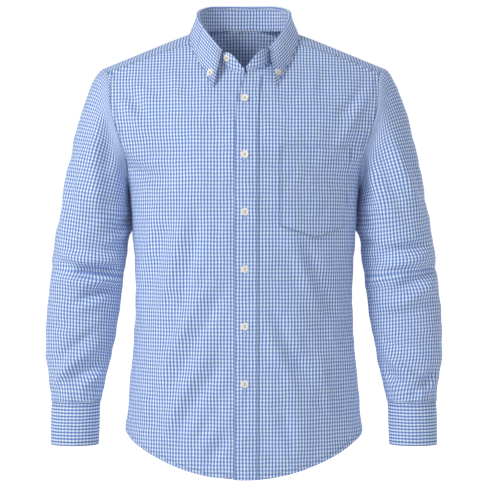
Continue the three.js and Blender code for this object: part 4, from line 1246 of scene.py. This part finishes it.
def makeSleeve(side):
    count = sleeve["columns"]
    angles = np.linspace(-math.pi, math.pi, count + 1)
    turned = np.where(angles < 0, angles + 2 * math.pi, angles)
    grid = sleeveSurface(turned)
    normals = roundTube(grid)
    axis = np.gradient(grid.mean(1), axis=0)
    warp = -np.broadcast_to(unit(axis)[:, None], grid.shape)
    warp = unit(warp - normals * dot(warp, normals))
    places = clothMap(grid, np.cross(warp, normals), warp, count // 2)
    height = sleeveHeight(side, np.broadcast_to(turned, grid.shape[:2]), grid[..., 2])
    seam = runningLength(grid[:, count // 2])
    height = height * smooth(seam / sleeve["creaseFade"]["armhole"])[:, None]
    height += pucker(places[..., 0], seam[:, None] - 4, sleeve["puckerDepth"])
    height += sleeve["headRise"] * (smooth(seam / 5) * (1 - smooth((seam - 9) / 25)))[:, None]
    finished = grid + normals * height[..., None]
    finished, places = onSide(side, finished, places)
    word = words[side].lower()
    addSheet("sleeve" + words[side], "sleeve_" + word, [(finished, places)], cloth["wall"], closed=True)


# Cuffs: a band whose outer end laps over its inner end at the back of the wrist
cuff = {
    "start": 255,
    "end": 285,
    "lapping": 25,
    "lapRise": 2.1,
    "swell": 0.5,
    "wall": 1.6,
    "columns": 130,
    "rows": 26,
}
sleevePlacket = {"start": 262, "end": 292, "topRing": 5.47, "lift": 2.2, "columns": 12, "rows": 80}


def cuffPoints(at, angles, lift=0):
    start = math.radians(cuff["start"])
    lapping = math.radians(cuff["lapping"])
    outset = cuff["lapRise"] * smooth((angles - start + lapping) / lapping)
    return ringPoint(at, angles, outset + lift)


def flatPlaces(grid):  # flat cloth of a band with its threads along and across it
    along, tall = runningLength(grid[len(grid) // 2]), runningLength(grid[:, 0])
    return np.stack(np.broadcast_arrays(tall[:, None], along[None]), -1)


def makeCuff(side):
    angles = np.linspace(math.radians(cuff["start"] - 360), math.radians(cuff["end"]), cuff["columns"])
    levels = np.linspace(ring["cuffTop"], ring["cuffLow"], cuff["rows"])
    swell = cuff["swell"] * np.sin(np.linspace(0, math.pi, cuff["rows"]))[:, None]
    grid = cuffPoints(levels[:, None], angles[None], swell)
    grid, places = onSide(side, grid, flatPlaces(grid))
    word = words[side].lower()
    edges = {"first": seams["cuffJoin"], "last": seams["collar"], outerEdges[side]: seams["collar"]}
    addSheet("cuff" + words[side], "cuff_" + word, [(grid, places)], cuff["wall"], edges=edges)


def makeSleevePlacket(side):
    angles = np.radians(np.linspace(sleevePlacket["start"], sleevePlacket["end"], sleevePlacket["columns"]))
    levels = np.linspace(sleevePlacket["topRing"], ring["cuffTop"] - 0.1, sleevePlacket["rows"])
    heights = ringPath(levels)[:, None, 2] + 0 * angles[None]
    creased = sleeveHeight(side, np.broadcast_to(angles, heights.shape), heights)
    lift = sleevePlacket["lift"] + np.maximum(creased, 0)
    grid = ringPoint(levels[:, None], angles[None], lift)
    grid, places = onSide(side, grid, flatPlaces(grid)[..., ::-1])
    word = words[side].lower()
    edges = {"left": seams["strip"], "right": seams["strip"], "first": seams["strip"]}
    name, node = "sleevePlacket" + words[side], "sleeve_placket_" + word
    addSheet(name, node, [(grid, places)], cloth["wall"], edges=edges)


for side in (1, -1):
    makeSleeve(side)
    makeCuff(side)
    makeSleevePlacket(side)
print("sleeves and cuffs built")

# Buttons: one model, turned out as a lathe would, then copied at each size
buttons = {
    "front": {"radius": 6.2, "gap": 0.35, "x": 1.5, "top": -118.5, "spacing": 93.6, "count": 6,
              "slit": 15, "slitBelow": 4.6},
    "stand": {"radius": 5.8, "gap": 0.5, "x": -28.5, "z": -50},
    "collar": {"radius": 5.2, "gap": 0.5, "x": 56, "z": -74.5, "slit": 12, "slitBelow": 4.5, "slitIn": 0.8},
    "cuff": {"radius": 5.5, "gap": 0.6, "slit": 15},
    "thick": 2.2,
    "rim": 1.25,
    "dish": 0.55,
    "holeRadius": 0.9,
    "holeOffset": 1.7,
    "back": {"rim": 2.2, "dish": 0.2},
}
buttonSewing = {
    "apart": 0.28,
    "over": {"length": 3.0, "radius": 0.3},
    "down": {"length": 2.6, "radius": 0.55},
}
buttonhole = {"apart": 0.85, "pitch": 0.5, "length": 1.35, "bar": 2.9, "radius": 0.26, "lift": 0.15}


def modelButton():
    radius, thick = buttons["front"]["radius"] * mm, buttons["thick"] * mm
    bpy.ops.object.select_all(action="DESELECT")
    bpy.ops.mesh.primitive_cylinder_add(vertices=48, radius=radius, depth=thick, location=(0, 0, thick / 2))
    disc = bpy.context.object
    disc.name = "buttonModel"
    bpy.ops.object.mode_set(mode="EDIT")
    bpy.context.tool_settings.mesh_select_mode = (False, False, True)
    for wanted, shape in ((1, buttons), (-1, buttons["back"])):
        bpy.ops.mesh.select_all(action="DESELECT")
        mesh = bmesh.from_edit_mesh(disc.data)
        for face in mesh.faces:
            face.select = face.normal.z * wanted > 0.9
        bmesh.update_edit_mesh(disc.data)
        bpy.ops.mesh.inset(thickness=shape["rim"] * mm, depth=0)
        bpy.ops.mesh.inset(thickness=0.7 * mm, depth=-shape["dish"] * mm)
    bpy.ops.object.mode_set(mode="OBJECT")
    rounded = disc.modifiers.new("rounded", "BEVEL")
    rounded.width = 0.32 * mm
    rounded.segments = 3
    rounded.angle_limit = math.radians(25)
    bpy.ops.object.modifier_apply(modifier=rounded.name)
    for k in range(4):
        turn = (k + 0.5) * math.pi / 2
        away = buttons["holeOffset"] * mm
        bpy.ops.object.select_all(action="DESELECT")
        bpy.ops.mesh.primitive_cylinder_add(
            vertices=20,
            radius=buttons["holeRadius"] * mm,
            depth=8 * mm,
            location=(away * math.cos(turn), away * math.sin(turn), 0),
        )
        drill = bpy.context.object
        selectOnly(disc)
        hole = disc.modifiers.new("hole", "BOOLEAN")
        hole.object = drill
        hole.operation = "DIFFERENCE"
        bpy.ops.object.modifier_apply(modifier=hole.name)
        bpy.data.objects.remove(drill)
    bpy.ops.object.shade_smooth_by_angle(angle=math.radians(35))
    disc.data.materials.clear()
    disc.data.materials.append(pearl)
    return disc


def faceNormals(grid):
    return unit(np.cross(np.gradient(grid, axis=1), np.gradient(grid, axis=0)))


def placeOn(name, x, z):  # the point and normal of a piece's outer face seen at x and z from straight ahead
    best = None
    for grid in outerFaces[name]:
        normals = faceNormals(grid)
        miss = np.hypot(grid[..., 0] - x, grid[..., 2] - z) + 1000 * (normals[..., 1] > -0.1)
        j, i = np.unravel_index(miss.argmin(), miss.shape)
        if best is None or miss[j, i] < best[0]:
            best = miss[j, i], grid[j, i], normals[j, i]
    point, normal = best[1:]
    dx, dz = x - point[0], z - point[2]
    dy = -(normal[0] * dx + normal[2] * dz) / normal[1]
    return point + (dx, dy, dz), normal


def standing(point, normal, gap, scale=1.0):
    away = Vector(normal).normalized()
    up = Vector((0, 0, 1)) - away * away.z
    upright = up.normalized() if up.length > 0.1 else Vector((0, 1, 0))
    aside = upright.cross(away)
    turn = Matrix((aside, upright, away)).transposed().to_4x4()
    middle = (Vector(point) + away * gap) * mm
    return Matrix.Translation(middle) @ turn @ Matrix.Scale(scale, 4)


sewn = {}  # lines of stitches by name: middles, directions, normals, lengths and radii in mm


def addThreads(name, middles, directions, normals, length, radius):
    middles = np.atleast_2d(middles)
    count = len(middles)
    sewn.setdefault(name, []).append((
        middles,
        unit(np.broadcast_to(directions, middles.shape)),
        unit(np.broadcast_to(normals, middles.shape)),
        np.full(count, length),
        np.full(count, radius),
    ))


def addButton(name, node, model, kind, point, normal):
    size = buttons[kind]
    place = standing(point, normal, size["gap"], size["radius"] / buttons["front"]["radius"])
    button = model.copy()
    button.data = model.data.copy()
    button.name = name
    button.data.name = name
    bpy.context.collection.objects.link(button)
    button.data.transform(place)
    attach(button, "root")
    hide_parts(node)
    turn = np.array(place.to_3x3().normalized())
    middle = np.array(place.translation) / mm
    face = buttons["thick"] - buttons["dish"] + 0.12
    hole = buttons["holeOffset"] * 0.707
    for beside in (-1, 1):  # two threads over the face between each pair of holes, and one down each hole
        for shift in (-buttonSewing["apart"], buttonSewing["apart"]):
            at = middle + turn @ np.array((hole * beside + shift, 0, face))
            addThreads("buttonThreads", at, turn[:, 1], turn[:, 2], **buttonSewing["over"])
        for end in (-1, 1):
            at = middle + turn @ np.array((hole * beside, end * hole, 0.8))
            addThreads("buttonThreads", at, turn[:, 2], turn[:, 1], **buttonSewing["down"])


def addButtonhole(name, point, normal, upright, length):
    normal = unit(np.asarray(normal, float))
    along = unit(upright - normal * dot(upright, normal))
    across = np.cross(along, normal)
    lift, radius = buttonhole["lift"], buttonhole["radius"]
    steps = np.arange(-length / 2, length / 2 + 0.01, buttonhole["pitch"])
    for sideways in (-buttonhole["apart"], buttonhole["apart"]):
        middles = point + normal * lift + across * sideways + steps[:, None] * along
        addThreads(name, middles, across + 0.12 * along, normal, buttonhole["length"], radius)
    for end in (-1, 1):  # a bar of three longer stitches closes each end
        for k in range(3):
            middle = point + normal * (lift + 0.08) + along * end * (length / 2 + 0.2 + 0.35 * k)
            addThreads(name, middle, across, normal, buttonhole["bar"], radius)


def makeButtons():
    model = modelButton()
    size = buttons["front"]
    for k in range(size["count"]):
        z = size["top"] - size["spacing"] * k
        point, normal = placeOn("placketBand", size["x"], z)
        addButton(f"buttonFront{k + 1}", f"button_front_{k + 1}", model, "front", point, normal)
        below, facing = placeOn("placketBand", size["x"], z - size["slitBelow"])
        addButtonhole("placketButtonholes", below, facing, np.array((0, 0, 1.0)), size["slit"])
    size = buttons["stand"]
    point, normal = placeOn("collarStand", size["x"], size["z"])
    addButton("buttonStand", "button_stand", model, "stand", point, normal)
    size = buttons["collar"]
    for side, word in words.items():
        point, normal = placeOn("collarLeaf", side * size["x"], size["z"])
        addButton("buttonCollar" + word, "button_collar_" + word.lower(), model, "collar", point, normal)
        belowX, belowZ = side * (size["x"] - size["slitIn"]), size["z"] - size["slitBelow"]
        below, facing = placeOn("collarLeaf", belowX, belowZ)
        addButtonhole("collarButtonholes", below, facing, np.array((-0.25 * side, 0, 1.0)), size["slit"])
        at = (ring["cuffTop"] + ring["cuffLow"]) / 2
        angle = math.radians((cuff["start"] + cuff["end"]) / 2)
        middle, wide = cuffPoints(at, angle + 2 * math.pi, 0.5), ringSize(at)
        outward = np.array((math.cos(angle) / wide[0], -math.sin(angle) / wide[1], 0))
        mirror = np.array((side, 1, 1))
        around = np.cross(unit(outward), (0, 0, 1.0)) * mirror
        middle, outward = middle * mirror, outward * mirror
        addButton("buttonCuff" + word, "button_cuff_" + word.lower(), model, "cuff", middle, outward)
        addButtonhole("cuffButtonholes", middle, outward, around, buttons["cuff"]["slit"])
    bpy.data.objects.remove(model)


makeButtons()
print("buttons built")

# Seams: rows of small stitches a set distance in from an edge of a piece
seamStitch = {"length": 2.1, "pitch": 2.7, "radius": 0.2, "lift": 0.06}


def sampleGrid(grid, j, i):
    low = np.clip(j.astype(int), 0, grid.shape[0] - 2), np.clip(i.astype(int), 0, grid.shape[1] - 2)
    f, g = (j - low[0])[:, None], (i - low[1])[:, None]
    near = lerp(grid[low[0], low[1]], grid[low[0], low[1] + 1], g)
    far = lerp(grid[low[0] + 1, low[1]], grid[low[0] + 1, low[1] + 1], g)
    return lerp(near, far, f)


def insetLine(grid, edge, distance):  # grid indices of a line a set distance in from an edge
    turned = grid if edge in ("first", "last") else grid.transpose(1, 0, 2)
    flipped = turned[::-1] if edge in ("last", "right") else turned
    reach = runningLength(flipped)
    steps = np.arange(len(flipped))
    inward = np.array([np.interp(distance, reach[:, k], steps) for k in range(flipped.shape[1])])
    if edge in ("last", "right"):
        inward = len(flipped) - 1 - inward
    other = np.arange(flipped.shape[1], dtype=float)
    return (inward, other) if edge in ("first", "last") else (other, inward)


def stitchEdge(name, piece, edge, distance, part=0, trim=(0, 0)):
    grid = outerFaces[piece][part]
    line = insetLine(grid, edge, distance)
    points = sampleGrid(grid, *line)
    normals = unit(sampleGrid(faceNormals(grid), *line))
    length = runningLength(points)
    at = np.arange(trim[0] + 1.5, length[-1] - trim[1] - 1.5, seamStitch["pitch"])

    def along(values, places):
        return np.stack([np.interp(places, length, values[:, k]) for k in range(3)], -1)
    middles, outward = along(points, at), along(normals, at)
    direction = along(points, at + 0.5) - along(points, at - 0.5)
    lifted = middles + outward * seamStitch["lift"]
    addThreads(name, lifted, direction, outward, seamStitch["length"], seamStitch["radius"])


def sewSeams():
    for side, word in words.items():
        stitchEdge("frontStitches", "front" + word, "first", seams["hem"])
        for distance in (seams["edge"], seams["felled"]):
            stitchEdge("frontStitches", "front" + word, outerEdges[side], distance, trim=(10, 3))
    stitchEdge("backStitches", "backPanel", "last", seams["hem"])
    for edge in ("left", "right"):
        for distance in (seams["edge"], seams["felled"]):
            stitchEdge("backStitches", "backPanel", edge, distance, trim=(3, 10))
    for part, outer in enumerate(outerEdges.values()):
        for edge in ("first", "last"):
            stitchEdge("yokeStitches", "yokePanel", edge, seams["edge"], part)
        stitchEdge("yokeStitches", "yokePanel", outer, seams["felled"], part)
    for edge in ("left", "right"):
        stitchEdge("placketStitches", "placketBand", edge, seams["band"] + 0.2)
    for edge in ("first", "left", "right"):
        stitchEdge("pocketStitches", "pocketPatch", edge, seams["edge"])
    for edge in ("left", "right", "last"):
        stitchEdge("collarStitches", "collarLeaf", edge, seams["collar"], trim=(5, 5))
    stitchEdge("standStitches", "collarStand", "first", seams["edge"])
    cuffRows = [("first", seams["edge"]), ("first", seams["cuffJoin"]), ("last", seams["collar"])]
    for side, word in words.items():
        for edge in ("left", "right"):
            stitchEdge("sleeveStitches", "sleeve" + word, edge, seams["underarm"])
        for edge, distance in [*cuffRows, (outerEdges[side], seams["collar"])]:
            stitchEdge("cuffStitches", "cuff" + word, edge, distance, trim=(4, 4))
        for edge in ("left", "right", "first"):
            stitchEdge("sleevePlacketStitches", "sleevePlacket" + word, edge, seams["strip"])


def makeThreads(name, rows):
    middles, directions, normals, lengths, radii = (np.concatenate(part) for part in zip(*rows))
    aside = np.cross(directions, normals)
    rings = [(-0.5, 0.3), (-0.34, 0.95), (0.34, 0.95), (0.5, 0.3)]
    points = []
    for along, thick in rings:
        for k in range(6):
            turn = k * math.pi / 3
            sideways = aside * (radii * thick * math.cos(turn))[:, None]
            upwards = normals * (radii * thick * 0.75 * math.sin(turn))[:, None]
            points.append(middles + directions * (lengths * along)[:, None] + sideways + upwards)
    points = np.stack(points, 1).reshape(-1, 3) * mm
    one = [[0, 1, 2, 3, 4, 5], [23, 22, 21, 20, 19, 18]]
    for r in range(3):
        for k in range(6):
            a, b = r * 6 + k, r * 6 + (k + 1) % 6
            one.append([b, a, a + 6, b + 6])
    faces = [[24 * k + v for v in face] for k in range(len(middles)) for face in one]
    mesh = bpy.data.meshes.new(name)
    mesh.from_pydata(points, [], faces)
    piece = inScene(name, mesh)
    selectOnly(piece)
    bpy.ops.object.shade_smooth_by_angle(angle=math.radians(70))
    mesh.materials.append(buttonThread if name.startswith("button") else seamThread)
    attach(piece, "root")


sewSeams()
for name, rows in sewn.items():
    makeThreads(name, rows)
print("stitches sewn")

# Studio: a wide pale floor that rises far behind, a soft key from the upper left and a pale world
studio = {
    "floorLow": -1.15,
    "flatRadius": 3.6,
    "wideRadius": 7.0,
    "rise": 2.6,
    "turns": 97,
    "glow": 0.6,  # how bright the floor is to the camera alone
    "world": 0.375,
    "worldTint": (0.93, 0.965, 1.0, 1),
    "aim": (0, 0, -0.4),
    "focalLength": 129.65,
    "camera": (0.0017, -3, -0.359),
}
lights = {
    "key": {"power": 75, "size": 1.0, "place": (-2.4, -2.0, 1.4)},
    "fill": {"power": 16, "size": 2.4, "place": (1.8, -2.8, 0.5)},
    "rear": {"power": 42, "size": 2.4, "place": (2.2, 2.8, 1.2)},
}


def floorMaterial():
    material, wiring, shader = newMaterial("paleFloor")
    body = wiring.add("ShaderNodeTexCoord").outputs["Object"]
    mottle = noiseOf(wiring, body, 3.0, 2.0)
    seen = wiring.add("ShaderNodeLightPath").outputs["Is Camera Ray"]
    behind = wiring.add("ShaderNodeNewGeometry").outputs["Backfacing"]
    wiring.fill(shader, {
        "Base Color": blend(wiring, mottle, (0.93, 0.93, 0.93, 1), (0.96, 0.96, 0.96, 1)),
        "Emission Color": (1, 1, 1, 1),
        "Emission Strength": wiring.math("MULTIPLY", seen, studio["glow"]),
        "Alpha": wiring.math("SUBTRACT", 1.0, behind),
        "Roughness": 0.9,
    })
    return material


def makeFloor():
    near, far = studio["flatRadius"], studio["wideRadius"]
    radii = np.concatenate([[0.01], np.linspace(1.2, near, 4), np.linspace(near, far, 25)[1:]])
    turns = np.linspace(0, 2 * math.pi, studio["turns"])
    rise = smooth((radii - near) / (far - near) * 0.999)
    heights = studio["floorLow"] + studio["rise"] * rise
    shape = len(radii), len(turns)
    flat = np.stack([radii[:, None] * np.cos(turns), radii[:, None] * np.sin(turns),
                     np.broadcast_to(heights[:, None], shape)], -1)
    index = np.arange(flat[..., 0].size).reshape(shape)
    quads = np.stack([index[:-1, :-1], index[1:, :-1], index[1:, 1:], index[:-1, 1:]], -1).reshape(-1, 4)
    mesh = bpy.data.meshes.new("floor")
    mesh.from_pydata(flat.reshape(-1, 3), [], quads.tolist())
    floor = inScene("floor", mesh)
    selectOnly(floor)
    bpy.ops.object.shade_smooth()
    mesh.materials.append(floorMaterial())


def makeWorld():
    world = bpy.data.worlds.new("studio")
    bpy.context.scene.world = world
    world.use_nodes = True
    wiring = Wiring(world.node_tree)
    background = world.node_tree.nodes["Background"]
    seen = wiring.add("ShaderNodeLightPath").outputs["Is Camera Ray"]
    wiring.fill(background, {
        "Color": blend(wiring, seen, studio["worldTint"], (1, 1, 1, 1)),
        "Strength": ranged(wiring, seen, (0.0, 1.0), (studio["world"], 1.0)),
    })


def makeLights():
    for name, wanted in lights.items():
        light = bpy.data.lights.new(name, "AREA")
        light.energy = wanted["power"]
        light.size = wanted["size"]
        lamp = inScene(name, light)
        lamp.location = wanted["place"]
        towards = Vector(studio["aim"]) - Vector(wanted["place"])
        lamp.rotation_euler = towards.to_track_quat("-Z", "Y").to_euler()


def makeCamera():
    lens = bpy.data.cameras.new("camera")
    lens.lens = studio["focalLength"]
    lens.sensor_width = 36
    camera = inScene("camera", lens)
    camera.location = studio["camera"]
    camera.rotation_euler = (math.pi / 2, 0, 0)
    bpy.context.scene.camera = camera
    bpy.context.scene.view_settings.view_transform = "Standard"


makeFloor()
makeWorld()
makeLights()
makeCamera()
print("studio set up")
